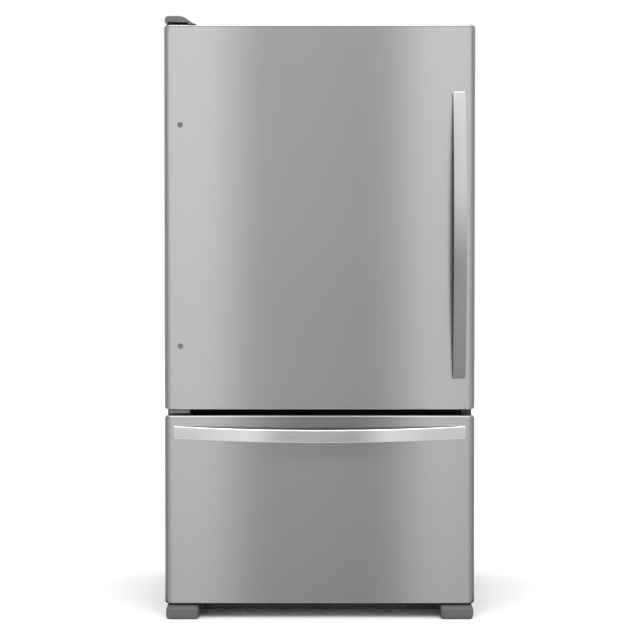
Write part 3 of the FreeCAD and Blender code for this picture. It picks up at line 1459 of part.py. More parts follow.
def compressor_tray():
    """Steel tray that closes the machine room's floor."""
    tray_plate = Piece("compressor_tray")
    half = shell_inside - s.seat_gap
    back = rear_cover_front
    tray_plate.pad("XY", s.cabinet_bottom, tray_top, rectangle(
        -half, half, machine_front + s.seat_gap, back))
    tray_plate.pad("XZ", back - s.tray_sheet, back, rectangle(
        -half, half, tray_top, tray_top + s.tray_flange))


def compressor():
    """Welded can with domed ends on its foot plate, with suction and discharge stubs."""
    can = Piece("compressor")
    x = compressor_x
    y = compressor_y
    plate_low = tray_top + s.grommet_height
    half_width = s.foot_plate_width / 2
    half_depth = s.foot_plate_depth / 2
    can.pad("XY", plate_low, can_bottom, rectangle(
        x - half_width, x + half_width, y - half_depth, y + half_depth, s.grommet_radius))
    can.pad("XY", can_bottom, can_bottom + s.compressor_height, Ring((x, y), s.compressor_radius))
    can.round(s.compressor_dome, at("z", can_bottom + s.compressor_height))
    middle = can_bottom + s.compressor_height / 2
    left = x - s.compressor_radius - s.stub_length
    for depth in (y - s.stub_spacing, y):
        can.pad("YZ", left, x, Ring((depth, middle), s.tube_radius))


def rubber_grommets():
    """Rubber mounts under the compressor, and the grommet where the cord enters."""
    mounts = []
    across = s.foot_plate_width / 2 - s.mount_inset
    along = s.foot_plate_depth / 2 - s.mount_inset
    for side in (-1, 1):
        for end in (-1, 1):
            mounts.append(rod("mount", "Z", (compressor_x + across * side, compressor_y + along * end),
                              s.grommet_radius, (tray_top, tray_top + s.grommet_height)))
    low = rear_cover_back - s.cord_grommet_length
    sleeve = rod("cord_sleeve", "Y", (cord_x, cord_height), s.cord_grommet, (low, rear_cover_back))
    bore = rod("cord_bore", "Y", (cord_x, cord_height), s.cord_bore, (low, rear_cover_back))
    mounts.append(cut_out("cord_grommet", sleeve, bore))
    group("rubber_grommets", mounts)


def condenser():
    half = s.condenser_depth / 2
    finned_coil("condenser", (condenser_left, condenser_right),
                (condenser_middle - half, condenser_middle + half),
                (condenser_bottom, condenser_bottom + s.condenser_height))


def drain_pan():
    half = s.drain_pan_width / 2
    front = condenser_middle - s.drain_pan_depth / 2
    tray("drain_pan", (-half, half), (front, front + s.drain_pan_depth),
         (tray_top, tray_top + s.drain_pan_height), s.bin_wall)


def rear_cover():
    """Louvred sheet over the machine room."""
    cover = Piece("rear_cover")
    half = shell_inside - s.seat_gap
    cover.pad("XZ", rear_cover_front, rear_cover_back, rectangle(
        -half, half, s.cabinet_bottom, machine_room_top - s.seat_gap))
    slot = s.louvre_width / 2
    low = s.cabinet_bottom + s.louvre_foot
    rows = []
    for middle in (-half / 2, half / 4):
        rows.append(rectangle(middle - slot, middle + slot, low, low + s.louvre_height))
    slots = cover.cut("XZ", rear_cover_front, rear_cover_back, *rows)
    count = int(number_of((machine_room_top - low) / s.louvre_pitch)) - 1
    cover.repeat(slots, "Z", s.louvre_pitch, count)
    cover.cut("XZ", rear_cover_front, rear_cover_back, Ring((cord_x, cord_height), s.cord_grommet))


# ---------------------------------------------------------------- base

grille_front = door_face + s.grille_setback
foot_cover_outside = half_door - s.foot_cover_inset
foot_cover_inside = foot_cover_outside - s.foot_cover_width
foot_cover_front = door_face + s.foot_cover_setback
foot_cover_top = s.cabinet_bottom - s.seat_gap
leg_y = cabinet_front + s.leg_setback
bracket_x = half_cabinet - s.bracket_inset
front_axle_y = cabinet_front + s.front_roller_setback
front_axle_z = s.front_roller_lift + s.roller_radius
rear_axle_y = cabinet_rear - s.rear_roller_inset


def base_grille():
    """Black slotted kick plate under the drawer."""
    grille = Piece("base_grille")
    half = foot_cover_inside - s.grille_side_gap
    back = grille_front + s.grille_thickness
    grille.pad("XZ", grille_front, back, rectangle(-half, half, s.grille_bottom, s.cabinet_bottom))
    first = s.grille_pitch / 2 - half
    rows = []
    for step in (1, 3):
        low = s.grille_bottom + s.grille_slot_height * step
        rows.append(rectangle(first, first + s.grille_slot, low, low + s.grille_slot_height))
    slots = grille.cut("XZ", grille_front, back, *rows)
    count = int(number_of((half * 2 - s.grille_pitch) / s.grille_pitch))
    grille.repeat(slots, "X", s.grille_pitch, count)


def foot_covers():
    """Hollow covers in front of the leveling legs, open below and behind."""
    covers = []
    for name, side in (("foot_cover_left", -1), ("foot_cover_right", 1)):
        cover = Piece(name, is_node=False)
        left, right = sided(side, foot_cover_inside, foot_cover_outside)
        back = foot_cover_front + s.foot_cover_depth
        wall = s.foot_cover_wall
        cover.pad("XY", s.foot_cover_bottom, foot_cover_top, rectangle(left, right, foot_cover_front, back))
        underside = at("z", s.foot_cover_bottom)
        cover.bevel(s.foot_cover_bevel, both(at("y", foot_cover_front), lambda edge: not underside(edge)))
        cover.cut("XY", s.foot_cover_bottom, foot_cover_top - wall, rectangle(
            left + wall, right - wall, foot_cover_front + s.foot_cover_bevel, back))
        cover.cut("XY", foot_cover_top - wall, foot_cover_top, rectangle(
            left + wall, right - wall, cabinet_front, back))
        covers.append(cover.body)
    group("foot_covers", covers)


def roller_bracket(name, x, y, axle, with_nut):
    """Inverted channel that carries an axle and, at the front, the nut of a leveling leg."""
    bracket = Piece(name, is_node=False)
    half = s.bracket_width / 2
    steel = s.bracket_steel
    bracket.pad("XY", s.bracket_bottom, s.cabinet_bottom, rectangle(x - half, x + half, y[0], y[1]))
    bracket.cut("XY", s.bracket_bottom, s.cabinet_bottom - steel, rectangle(
        x - half + steel, x + half - steel, y[0], y[1]))
    if with_nut:
        nut = s.nut_length / 2
        low = s.bracket_bottom + s.nut_height / 2
        bracket.pad("XY", low, low + s.nut_height, rectangle(
            x - half + steel, x + half - steel, leg_y - nut, leg_y + nut))
        bracket.cut("XY", low, low + s.nut_height, Ring((x, leg_y), s.leg_radius + s.running_fit))
    bracket.cut("YZ", x - half, x + half, Ring(axle, axle_hole))
    return bracket.body


def roller_brackets():
    brackets = []
    front = cabinet_front + s.bracket_setback
    rear = rear_cover_front - s.bracket_setback
    for side in (-1, 1):
        x = bracket_x * side
        brackets.append(roller_bracket(f"front_bracket_{side + 2}", x, (front, front + s.bracket_length),
                                       (front_axle_y, front_axle_z), True))
        brackets.append(roller_bracket(f"rear_bracket_{side + 2}", x, (rear - s.rear_bracket_length, rear),
                                       (rear_axle_y, s.roller_radius), False))
    group("roller_brackets", brackets)


def rollers(label, axle_y, axle_z):
    """A pair of rollers on their axles, left and right on one line."""
    wheels = []
    for side in (-1, 1):
        x = bracket_x * side
        wheel = Piece(f"{label}_{side + 2}", is_node=False)
        centre = (axle_y, axle_z)
        half = s.roller_width / 2
        wheel.pad("YZ", x - half, x + half, Ring(centre, s.roller_radius))
        reach = s.bracket_width / 2 + s.axle_head
        wheel.pad("YZ", x - reach, x + reach, Ring(centre, s.axle_radius))
        wheels.append(wheel.body)
    group(label, wheels)


def leveling_leg(label, side):
    """Threaded stem on a round foot."""
    leg = Piece(label)
    centre = (bracket_x * side, leg_y)
    top = s.cabinet_bottom - s.bracket_steel - s.leg_head_gap
    leg.pad("XY", 0, s.leg_foot_height, Ring(centre, s.leg_foot_radius))
    leg.pad("XY", s.leg_foot_height, top, Ring(centre, s.leg_radius))
    leg.bevel(s.leg_foot_edge, both(at("z", s.leg_foot_height), wider_than(s.leg_foot_radius)))


# ---------------------------------------------------------------- drawer slides and baskets

slide_front = cabinet_front + s.slide_setback
slide_back = slide_front + s.slide_length
slide_bottom = freezer_step_top + s.slide_gap
slide_top = slide_bottom + s.slide_height
ledge_bottom = slide_top + s.ledge_gap
slide_inside = inside - s.slide_width
middle_back_x = inside - s.slide_sheet - s.seat_gap
middle_low = slide_bottom + s.slide_sheet + s.seat_gap
middle_high = slide_top - s.slide_sheet - s.seat_gap
inner_back_x = middle_back_x - s.slide_sheet - s.seat_gap
inner_low = middle_low + s.slide_sheet + s.seat_gap
inner_high = middle_high - s.slide_sheet - s.seat_gap
inner_face_x = slide_inside - s.slide_sheet
bracket_face_x = inner_face_x - s.bracket_sheet
bracket_low = slide_bottom - s.bracket_drop
carrier_x = bracket_face_x - s.bracket_flange


def channel(name, side, near, far, low, high):
    """Steel channel that opens towards the middle."""
    member = Piece(name, is_node=False)
    left, right = sided(side, near, far)
    member.pad("XZ", slide_front, slide_back, rectangle(left, right, low, high))
    left, right = sided(side, near, far - s.slide_sheet)
    member.cut("XZ", slide_front, slide_back, rectangle(
        left, right, low + s.slide_sheet, high - s.slide_sheet))
    return member.body


def slides():
    """Outer members on the liner's walls and the sliding middle members inside them."""
    outer = []
    middle = []
    for side in (-1, 1):
        outer.append(channel(f"slide_outer_{side + 2}", side, slide_inside, inside, slide_bottom, slide_top))
        middle.append(channel(
            f"slide_middle_{side + 2}", side, slide_inside, middle_back_x, middle_low, middle_high))
    group("freezer_slide_rails", outer)
    group("slide_middles", middle)


def drawer_brackets():
    """Inner slide members with the angled brackets that join them to the drawer front."""
    brackets = []
    for side in (-1, 1):
        bracket = Piece(f"drawer_bracket_{side + 2}", is_node=False)
        left, right = sided(side, inner_face_x, inner_back_x)
        bracket.pad("XZ", slide_front, slide_back, rectangle(left, right, inner_low, inner_high))
        left, right = sided(side, bracket_face_x, inner_face_x)
        bracket.pad("XZ", slide_front, basket_back, rectangle(left, right, bracket_low, inner_high))
        left, right = sided(side, carrier_x, bracket_face_x)
        bracket.pad("XZ", dike_back, basket_back, rectangle(left, right, bracket_low, rim_bottom))
        left, right = sided(side, inner_face_x - s.bracket_foot, inner_face_x)
        bracket.pad("XZ", dike_back, dike_back + s.bracket_sheet, rectangle(
            left, right, bracket_low, inner_high))
        brackets.append(bracket.body)
    group("drawer_brackets", brackets)


basket_front = dike_back + s.bracket_sheet + s.basket_front_gap
basket_back = freezer_step_face - s.basket_rear_gap
rim_bottom = bracket_low + s.bracket_sheet


def lower_basket():
    """Deep tub that hangs by its rim on the brackets' flanges."""
    half = carrier_x - s.bin_wall
    bottom = freezer_floor + s.basket_floor_gap
    top = rim_bottom + s.bin_wall
    basket = tray("freezer_basket_lower", (-half, half), (basket_front, basket_back),
                  (bottom, top), s.bin_wall)
    for side in (-1, 1):
        left, right = sided(side, half - s.bin_wall, half + s.basket_rim)
        basket.pad("XY", rim_bottom, top, rectangle(
            left, right, basket_front + s.bin_corner, basket_back - s.bin_corner))


def upper_basket():
    """Shallow tub that slides on the liner's ledges."""
    half = inside - s.upper_basket_side_gap
    front = cabinet_front + s.upper_basket_setback
    bottom = ledge_bottom + s.ledge_height + s.seat_gap
    tray("freezer_basket_upper", (-half, half), (front, front + s.upper_basket_depth),
         (bottom, freezer_ceiling - s.upper_basket_head), s.bin_wall)


# ---------------------------------------------------------------- fasteners


def fasteners():
    """Hinge bolts, centre hinge screws, and the screws of the machine room cover."""
    heads = []
    plate_top = s.cabinet_top + s.hinge_plate
    middle = (plate_left + plate_right) / 2
    first = cabinet_front + s.bolt_pitch / 2
    for index in range(3):
        heads.append(rod("hinge_bolt", "Z", (middle, first + s.bolt_pitch * index), s.bolt_head,
                         (plate_top, plate_top + s.bolt_head_height)))
    right = arm_left + s.arm_width - s.bolt_pitch / 2
    left = arm_left + s.bolt_pitch / 2
    for x in (left, right):
        heads.append(rod("hinge_screw", "Y", (x, flange_high - s.hinge_screw_drop), s.screw_head,
                         (flange_face - s.screw_head_height, flange_face)))
    half = shell_inside - s.screw_inset
    low = tray_top + s.tray_flange / 2
    high = machine_room_top - s.screw_inset
    for x in (-half, half):
        for z in (low, high):
            heads.append(rod("cover_screw", "Y", (x, z), s.screw_head,
                             (rear_cover_back, rear_cover_back + s.screw_head_height)))
    group("fasteners", heads)


# ---------------------------------------------------------------- build, check and write

cabinet_shell()
back_panel()
base_pan()
insulation()
fridge_liner()
freezer_liner()
mullion_rail()
top_hinge()
hinge_cover()
center_hinge()
door_plugs()
door_bushings()
faces()
door_handle()
drawer_handle()
door_bins()
dairy_bin()
dairy_flap()
shelves()
shelf_ladders()
crisper_frame()
crispers()
air_duct()
control_housing()
dial()
light_lens()
evaporator()
evaporator_cover()
fans()
compressor_tray()
compressor()
rubber_grommets()
condenser()
drain_pan()
rear_cover()
base_grille()
foot_covers()
roller_brackets()
rollers("front_rollers", front_axle_y, front_axle_z)
rollers("rear_rollers", rear_axle_y, s.roller_radius)
leveling_leg("leveling_leg_left", -1)
leveling_leg("leveling_leg_right", 1)
slides()
drawer_brackets()
lower_basket()
upper_basket()
fasteners()

document.recompute()
for thing in document.Objects:
    if "Invalid" in thing.State or "Error" in thing.State:
        raise RuntimeError(f"{thing.Label} failed: {thing.State}")
os.makedirs("parts", exist_ok=True)
for part in nodes:
    shape = part.Shape
    if shape.isNull() or not shape.isValid() or not shape.Solids:
        raise RuntimeError(f"{part.Label} has no valid solid")
for part in nodes:
    part.Shape.exportStep(f"parts/{part.Label}.step")
print(f"{len(nodes)} sub-parts written")
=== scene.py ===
import json
import math

import bmesh
import bpy
from mathutils import Matrix, Vector

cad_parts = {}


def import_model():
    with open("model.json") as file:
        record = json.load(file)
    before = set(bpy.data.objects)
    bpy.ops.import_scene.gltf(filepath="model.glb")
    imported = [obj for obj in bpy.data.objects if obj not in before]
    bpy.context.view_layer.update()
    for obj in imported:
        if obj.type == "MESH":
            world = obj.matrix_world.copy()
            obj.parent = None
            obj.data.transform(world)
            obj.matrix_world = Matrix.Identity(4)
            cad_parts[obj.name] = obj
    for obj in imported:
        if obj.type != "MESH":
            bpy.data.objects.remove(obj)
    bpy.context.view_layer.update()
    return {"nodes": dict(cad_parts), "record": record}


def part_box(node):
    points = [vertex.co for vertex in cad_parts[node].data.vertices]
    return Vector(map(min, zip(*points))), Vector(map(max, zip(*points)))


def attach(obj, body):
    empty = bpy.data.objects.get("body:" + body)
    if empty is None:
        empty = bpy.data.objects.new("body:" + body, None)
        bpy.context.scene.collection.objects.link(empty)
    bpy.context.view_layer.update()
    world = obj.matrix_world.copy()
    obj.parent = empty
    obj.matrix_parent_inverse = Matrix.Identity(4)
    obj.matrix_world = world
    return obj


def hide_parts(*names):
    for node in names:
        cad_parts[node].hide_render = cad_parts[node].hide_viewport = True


# Bottom freezer refrigerator in a white studio. Metres; +Z is up, -Y is the front.

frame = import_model()
nodes = frame["nodes"]
slot_of = {part["node"]: part["material_slot"] for part in frame["record"]["subparts"]}

# ---------------------------------------------------------------- finishes


class Wire:
    """An output of a shader node; arithmetic on it adds Math nodes."""

    def __init__(self, finish, socket):
        self.finish = finish
        self.socket = socket

    def maths(self, operation, *values):
        """A Math node over values that are numbers or wires."""
        return self.finish.node("Math", {"operation": operation}, dict(enumerate(values)))

    def __add__(self, other):
        return self.maths("ADD", self, other)

    def __sub__(self, other):
        return self.maths("SUBTRACT", self, other)

    def __rsub__(self, other):
        return self.maths("SUBTRACT", other, self)

    def __mul__(self, other):
        return self.maths("MULTIPLY", self, other)

    def __abs__(self):
        return self.maths("ABSOLUTE", self)

    __radd__ = __add__
    __rmul__ = __mul__


class Finish:
    """A material; node() adds one shader node, with its settings first and its sockets after."""

    def __init__(self, name):
        self.material = bpy.data.materials.new(name)
        self.material.use_nodes = True
        self.tree = self.material.node_tree
        self.tree.nodes.clear()
        self.place = self.node("TexCoord", output="Object")

    def node(self, kind, settings=None, sockets=None, output=0):
        made = self.tree.nodes.new(f"ShaderNode{kind}")
        for name, value in (settings or {}).items():
            if name == "stops":
                ramp = made.color_ramp.elements
                ramp[0].position, ramp[-1].position = value[0][0], value[-1][0]
                for position, _ in value[1:-1]:
                    ramp.new(position)
                for stop, (_, level) in zip(ramp, value):
                    stop.color = (level, level, level, 1)
            else:
                setattr(made, name, value)
        for name, value in (sockets or {}).items():
            if isinstance(value, Wire):
                self.tree.links.new(value.socket, made.inputs[name])
            else:
                made.inputs[name].default_value = value
        return Wire(self, made.outputs[output]) if made.outputs else None

    def spot(self, axis):
        """The place on the object along an axis, in metres."""
        return self.node("SeparateXYZ", sockets={0: self.place}, output=axis)

    def noise(self, scale, stretch=(1, 1, 1), detail=3):
        """Cloudy pattern from 0 to 1, with scale times stretch waves per metre."""
        where = self.node("VectorMath", {"operation": "MULTIPLY"}, {0: self.place, 1: stretch})
        return self.node("TexNoise", sockets={"Vector": where, "Scale": scale, "Detail": detail})

    def cells(self, scale):
        """Crystal pattern: a random value for each cell."""
        spot = self.node("TexVoronoi", {"feature": "F1"}, {"Vector": self.place, "Scale": scale}, "Color")
        return self.node("SeparateColor", sockets={0: spot})

    def colour(self, factor, first, second, **settings):
        """A colour between two, by a factor; each of the two is a colour or a wire."""
        ends = [end if isinstance(end, Wire) else (*end, 1) for end in (first, second)]
        return self.node("Mix", {"data_type": "RGBA", **settings}, {0: factor, 6: ends[0], 7: ends[1]}, 2)

    def rise(self, value, start, end, first=0, last=1, soft=True):
        """From first to last while a value goes from start to end, softly or in a straight line."""
        settings = {"interpolation_type": "SMOOTHSTEP"} if soft else {}
        return self.node("MapRange", settings, {
            "Value": value, "From Min": start, "From Max": end, "To Min": first, "To Max": last})

    def bump(self, height, distance, strength):
        """A relief of the given depth in metres."""
        return self.node("Bump", sockets={"Height": height, "Distance": distance, "Strength": strength})

    def shade(self, **sockets):
        """The surface: a Principled shader whose sockets are named with underscores for spaces."""
        named = {name.replace("_", " "): value for name, value in sockets.items()}
        surface = self.node("BsdfPrincipled", sockets=named)
        self.node("OutputMaterial", sockets={"Surface": surface})
        return self.material


def shades(value, spread):
    """Two neutral greys round a value."""
    return (value - spread,) * 3, (value + spread,) * 3


def brushed_steel(name, grey, roughness, stretch, paint_light=None):
    """Satin stainless: fine scratches along the grain, faint broad clouding; the function it may be given
    paints shade and highlights into its colour.
    """
    steel = Finish(name)
    scratches = steel.noise(1, stretch, 2)
    streaks = steel.noise(1, tuple(share / 5 for share in stretch), 2)
    clouds = steel.noise(3)
    steel.tone = scratches * 0.5 + streaks * 0.5
    sheet = steel.colour(steel.tone, *shades(grey, 0.02))
    # Painted shade and highlights, where such a function is given.
    if paint_light:
        sheet = paint_light(steel, sheet)
    return steel.shade(
        Base_Color=sheet, Metallic=1.0,
        Roughness=roughness - 0.05 + steel.tone * 0.07 + clouds * 0.03,
        Normal=steel.bump(scratches, 0.00002, 0.25))


# Painted shade: the door handle is darkened towards this grey near its foot.
handle_shade_grey = 0.35
handle_shade_low, handle_shade_high = 1.00, 1.28  # heights where the painted shade on the bar's lower part starts to clear, and where it ends
highlight_start, highlight_full = 0.0034, 0.0020  # where the painted highlight starts and where it is full, in from the long edges


def smoky_bar(steel, sheet):
    """The door handle: painted shade darkening it towards its foot, and a painted highlight along its long
    edges.
    """
    low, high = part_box("door_handle")
    middle, half = (low.x + high.x) / 2, (high.x - low.x) / 2
    shaded_colour = steel.colour(steel.tone, *shades(handle_shade_grey, 0.015))
    # Painted shade towards the foot.
    sheet = steel.colour(steel.rise(steel.spot("Z"), handle_shade_low, handle_shade_high), shaded_colour, sheet)
    edge_highlight = steel.rise(abs(steel.spot("X") - middle), half - highlight_start, half - highlight_full)
    # Painted highlight along the long edges.
    return steel.colour(edge_highlight, sheet, (1.5,) * 3, blend_type="MULTIPLY", clamp_result=True)


door_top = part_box("door_skin")[1].z
drawer_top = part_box("drawer_skin")[1].z
grip_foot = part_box("drawer_handle")[0].z
# Painted shade: the fronts are darkened towards this grey on their rounded upright edges and rolled tops.
painted_shade_grey = 0.48
# Painted shade on the rounded upright edges: a darker band from here outwards, wider lower down.
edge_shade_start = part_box("door_skin")[1].x - 0.0145
edge_shade_blur = 0.003
edge_shade_narrow, edge_shade_wide = 1.3, 0.8  # heights between which the painted shade on the rounded upright edges grows wider
edge_shade_widening = 0.004
# Painted shade along the rolled tops of the door and the drawer.
top_shade_bands = ((door_top - 0.0068, door_top - 0.0018, 2.5),
              (drawer_top - 0.0045, drawer_top + 0.0035, 1.6))  # foot, head and depth of each
top_shade_rise, top_shade_fall = 0.0013, 0.0014
# Painted shade round the drawer handle, stronger above it than below.
grip_shade_middle = 0.012
grip_shade_core, grip_shade_reach = 0.03, 0.31  # half widths of its full and of its faint part


def folded_front(steel, sheet):
    """The fronts: painted shade on their rounded upright edges and rolled tops, and painted shade round the
    drawer handle.
    """
    side, height = steel.spot("X"), steel.spot("Z")
    widening = steel.rise(height, edge_shade_narrow, edge_shade_wide, 0, edge_shade_widening, soft=False)
    edge_and_top_shade = steel.rise(abs(side) + widening, edge_shade_start - edge_shade_blur, edge_shade_start + edge_shade_blur)
    # Painted shade along the rolled tops.
    for foot, head, depth in top_shade_bands:
        top_shade = steel.rise(height, foot, foot + top_shade_rise, 0, depth, soft=False)
        top_shade *= steel.rise(height, head, head - top_shade_fall, soft=False)
        edge_and_top_shade = edge_and_top_shade.maths("MAXIMUM", edge_and_top_shade, top_shade)
    # Painted shade of the edges and tops, mixed into the steel's colour.
    sheet = steel.colour(edge_and_top_shade, sheet, (painted_shade_grey,) * 3, clamp_factor=False)
    # Painted shade round the drawer handle.
    shade = steel.rise(abs(side - grip_shade_middle), grip_shade_core, grip_shade_reach, 1, 0)
    shade *= steel.rise(height, grip_foot - 0.0135, grip_foot + 0.0315, 0.12, 0.36, soft=False)
    shade *= steel.rise(height, grip_foot - 0.0885, grip_foot - 0.0185)
    shade *= steel.rise(height, drawer_top + 0.010, drawer_top + 0.004)
    return steel.colour(shade, sheet, (0, 0, 0))


def moulded_plastic(name, colour, roughness, grain, coat=0.0, sheen=0.5):
    """Moulded plastic with a fine leather of the mould and uneven gloss."""
    plastic = Finish(name)
    leather = plastic.noise(grain, detail=4)
    clouds = plastic.noise(12)
    light = tuple(share * 1.06 + 0.004 for share in colour)
    return plastic.shade(
        Base_Color=plastic.colour(clouds, colour, light), Roughness=roughness - 0.05 + leather * 0.1,
        Coat_Weight=coat, Specular_IOR_Level=sheen, Normal=plastic.bump(leather, 0.00008, 0.35))


def painted_sheet(name, colour, roughness):
    """Baked enamel on sheet steel, with a soft orange peel."""
    paint = Finish(name)
    peel = paint.noise(420, detail=2)
    pebble = paint.noise(1400, detail=2)
    light = tuple(share * 1.12 for share in colour)
    return paint.shade(
        Base_Color=paint.colour(pebble, colour, light), Roughness=roughness + peel * 0.08,
        Normal=paint.bump(peel * 0.7 + pebble * 0.3, 0.0002, 0.5))


def spangled_zinc(name, grey, scale, roughness, spread):
    """Galvanised steel with its crystals."""
    zinc = Finish(name)
    crystals = zinc.cells(scale)
    film = zinc.noise(scale * 0.3)
    dark, light = shades(grey, spread)
    return zinc.shade(
        Base_Color=zinc.colour(crystals, dark, light), Metallic=0.9,
        Roughness=roughness + crystals * 0.12 + film * 0.08, Normal=zinc.bump(crystals, 0.00003, 0.3))


def clear_pane(name, tint, clearness, roughness):
    """Clear plastic or glass: nearly invisible face on, denser where it is seen along its surface."""
    pane = Finish(name)
    rim = pane.node("LayerWeight", sockets={"Blend": 0.35}, output="Facing")
    scuffs = pane.noise(35, (1, 1, 4))
    return pane.shade(
        Base_Color=pane.colour(rim, tint, tuple(share * 0.8 for share in tint)),
        Roughness=roughness + scuffs * 0.06, Alpha=1 - clearness + rim * clearness * 0.75, IOR=1.5,
        Normal=pane.bump(scuffs, 0.0001, 0.1))


def soft_rubber(name, colour):
    """Extruded seal with a dull skin."""
    rubber = Finish(name)
    skin = rubber.noise(600)
    light = tuple(share * 1.15 + 0.01 for share in colour)
    return rubber.shade(
        Base_Color=rubber.colour(skin, colour, light), Roughness=0.55 + skin * 0.15,
        Normal=rubber.bump(skin, 0.0001, 0.4))


def milky_lens(name):
    """Frosted lens, faintly lit from inside."""
    lens = Finish(name)
    frost = lens.noise(300)
    return lens.shade(
        Base_Color=lens.colour(frost, (0.86, 0.87, 0.88), (0.95, 0.95, 0.94)), Roughness=0.35 + frost * 0.1,
        Emission_Color=lens.colour(frost, (0.95, 0.97, 1.0), (1.0, 1.0, 0.98)), Emission_Strength=0.5,
        Normal=lens.bump(frost, 0.0001, 0.3))


def bare_aluminium(name):
    """Thin drawn fins and tube."""
    metal = Finish(name)
    drawn = metal.noise(1, (40, 900, 900), 2)
    dark, light = shades(0.66, 0.05)
    return metal.shade(
        Base_Color=metal.colour(drawn, dark, light), Metallic=1.0, Roughness=0.3 + drawn * 0.15,
        Normal=metal.bump(drawn, 0.00005, 0.3))


def rigid_foam(name):
    """Foamed-in insulation with its cells."""
    foam = Finish(name)
    cells = foam.noise(500)
    return foam.shade(
        Base_Color=foam.colour(cells, (0.75, 0.62, 0.32), (0.86, 0.76, 0.48)), Roughness=0.85 + cells * 0.1,
        Normal=foam.bump(cells, 0.0004, 0.6))


upright = (1500, 1500, 9)  # waves per metre of a grain that runs up the piece
level = (9, 1500, 1500)
finishes = {
    "stainless": brushed_steel("stainless_sheet", 0.60, 0.24, upright),
    "front_steel": brushed_steel("front_steel", 0.60, 0.24, upright, folded_front),
    "handle_steel": brushed_steel("handle_steel_upright", 0.66, 0.22, upright, smoky_bar),
    # Painted light: the drawer handle's steel is a lighter copy of the door handle's, 0.89 against 0.66.
    "handle_steel_level_lit": brushed_steel("handle_steel_level_lit", 0.89, 0.22, level),
    "cabinet_paint": painted_sheet("cabinet_paint", (0.065, 0.068, 0.072), 0.38),
    "grey_plastic": moulded_plastic("grey_plastic", (0.125, 0.126, 0.128), 0.42, 900),
    "dark_plastic": moulded_plastic("dark_plastic", (0.018, 0.018, 0.019), 0.48, 900),
    # Painted shade: the foot caps get a darker copy of the grey plastic.
    "foot_plastic_shaded": moulded_plastic("foot_plastic_shaded", (0.092, 0.093, 0.095), 0.45, 900),
    # Painted shade: near-black, dull plastic for the mullion rail, darkening the gap between the doors.
    "gap_shade_black": moulded_plastic("gap_shade_black", (0.008, 0.008, 0.008), 0.7, 900, sheen=0.1),
    # Painted light: the base grille gets a lighter copy of the dark plastic.
    "grille_plastic_lit": moulded_plastic("grille_plastic_lit", (0.072, 0.072, 0.073), 0.8, 900),
    # Painted shade: the dark strip on the door handle's back.
    "shade_strip_dark": moulded_plastic("shade_strip_dark", (0.05, 0.05, 0.051), 0.5, 900),
    "white_plastic": moulded_plastic("white_plastic", (0.80, 0.81, 0.81), 0.24, 260, 0.15),
    "clear_plastic": clear_pane("clear_plastic", (0.90, 0.94, 0.96), 0.78, 0.05),
    "shelf_glass": clear_pane("shelf_glass", (0.76, 0.92, 0.87), 0.72, 0.02),
    "gasket_rubber": soft_rubber("gasket_rubber", (0.02, 0.02, 0.021)),
    "black_rubber": soft_rubber("black_rubber", (0.02, 0.02, 0.02)),
    "foam": rigid_foam("rigid_foam"),
    "hinge_grey": painted_sheet("hinge_paint", (0.20, 0.20, 0.202), 0.4),
    "zinc_steel": spangled_zinc("zinc_steel", 0.58, 260, 0.28, 0.06),
    "galvanised": spangled_zinc("galvanised_sheet", 0.52, 150, 0.32, 0.03),
    "coil_aluminium": bare_aluminium("coil_aluminium"),
    "compressor_black": painted_sheet("compressor_enamel", (0.012, 0.012, 0.013), 0.22),
    "white_metal": painted_sheet("white_enamel", (0.76, 0.77, 0.77), 0.3),
    "lens": milky_lens("milky_lens"),
}

# Painted shade: the mullion rail's near-black finish darkens the gap between the doors.
finish_of = {"light_lens": "lens", "center_hinge": "hinge_grey", "top_hinge": "dark_plastic",
             # Painted light: the base grille's finish is a lighter copy of the dark plastic.
             "mullion_rail": "gap_shade_black", "base_grille": "grille_plastic_lit"}
for name, thing in nodes.items():
    for slot in thing.material_slots:
        slot.material = finishes[finish_of.get(name, slot_of[name])]

# ---------------------------------------------------------------- shapes

AXES = {"X": (1, 2, 0), "Y": (0, 2, 1), "Z": (0, 1, 2)}  # where u, v and the place on the axis go


def along(axis, u, v, place):
    """The point with outline coordinates u and v at a place on an axis."""
    point = [0, 0, 0]
    for index, value in zip(AXES[axis], (u, v, place)):
        point[index] = value
    return tuple(point)


def rounded(left, right, low, high, radius, steps=5, far_radius=None):
    """Outline of a rectangle with round corners; those at the high side may have a radius of their own."""
    far = far_radius or radius
    centres = ((right - radius, low + radius, radius), (right - far, high - far, far),
               (left + far, high - far, far), (left + radius, low + radius, radius))
    outline = []
    for quarter, (u, v, reach) in enumerate(centres):
        for step in range(steps + 1):
            angle = math.pi / 2 * (quarter - 1 + step / steps)
            outline.append((u + reach * math.cos(angle), v + reach * math.sin(angle)))
    return outline


def circle(centre, radius, steps=40):
    """Outline of a circle."""
    turns = [math.tau * step / steps for step in range(steps)]
    return [(centre[0] + radius * math.cos(turn), centre[1] + radius * math.sin(turn)) for turn in turns]


def rolled(low, high, radius, steps=4):
    """Places from low to high and the inset at each, for an edge rolled at both ends."""
    turns = [math.pi / 2 * step / steps for step in range(steps + 1)]
    start = [(low + radius - radius * math.cos(turn), radius - radius * math.sin(turn)) for turn in turns]
    end = [(high - radius + radius * math.sin(turn), radius - radius * math.cos(turn)) for turn in turns]
    return start + end


sharp_angle = math.radians(35)
bevel_angle = math.radians(40)
tub_wall = 0.0025
tub_corner = 0.012
tub_foot = 0.008  # how far the floor's round edge reaches up
tub_bead = 0.0045  # height of the rim's bead
tub_step = 0.001  # how far the walls stand back from the bead
tub_lip = 0.0006


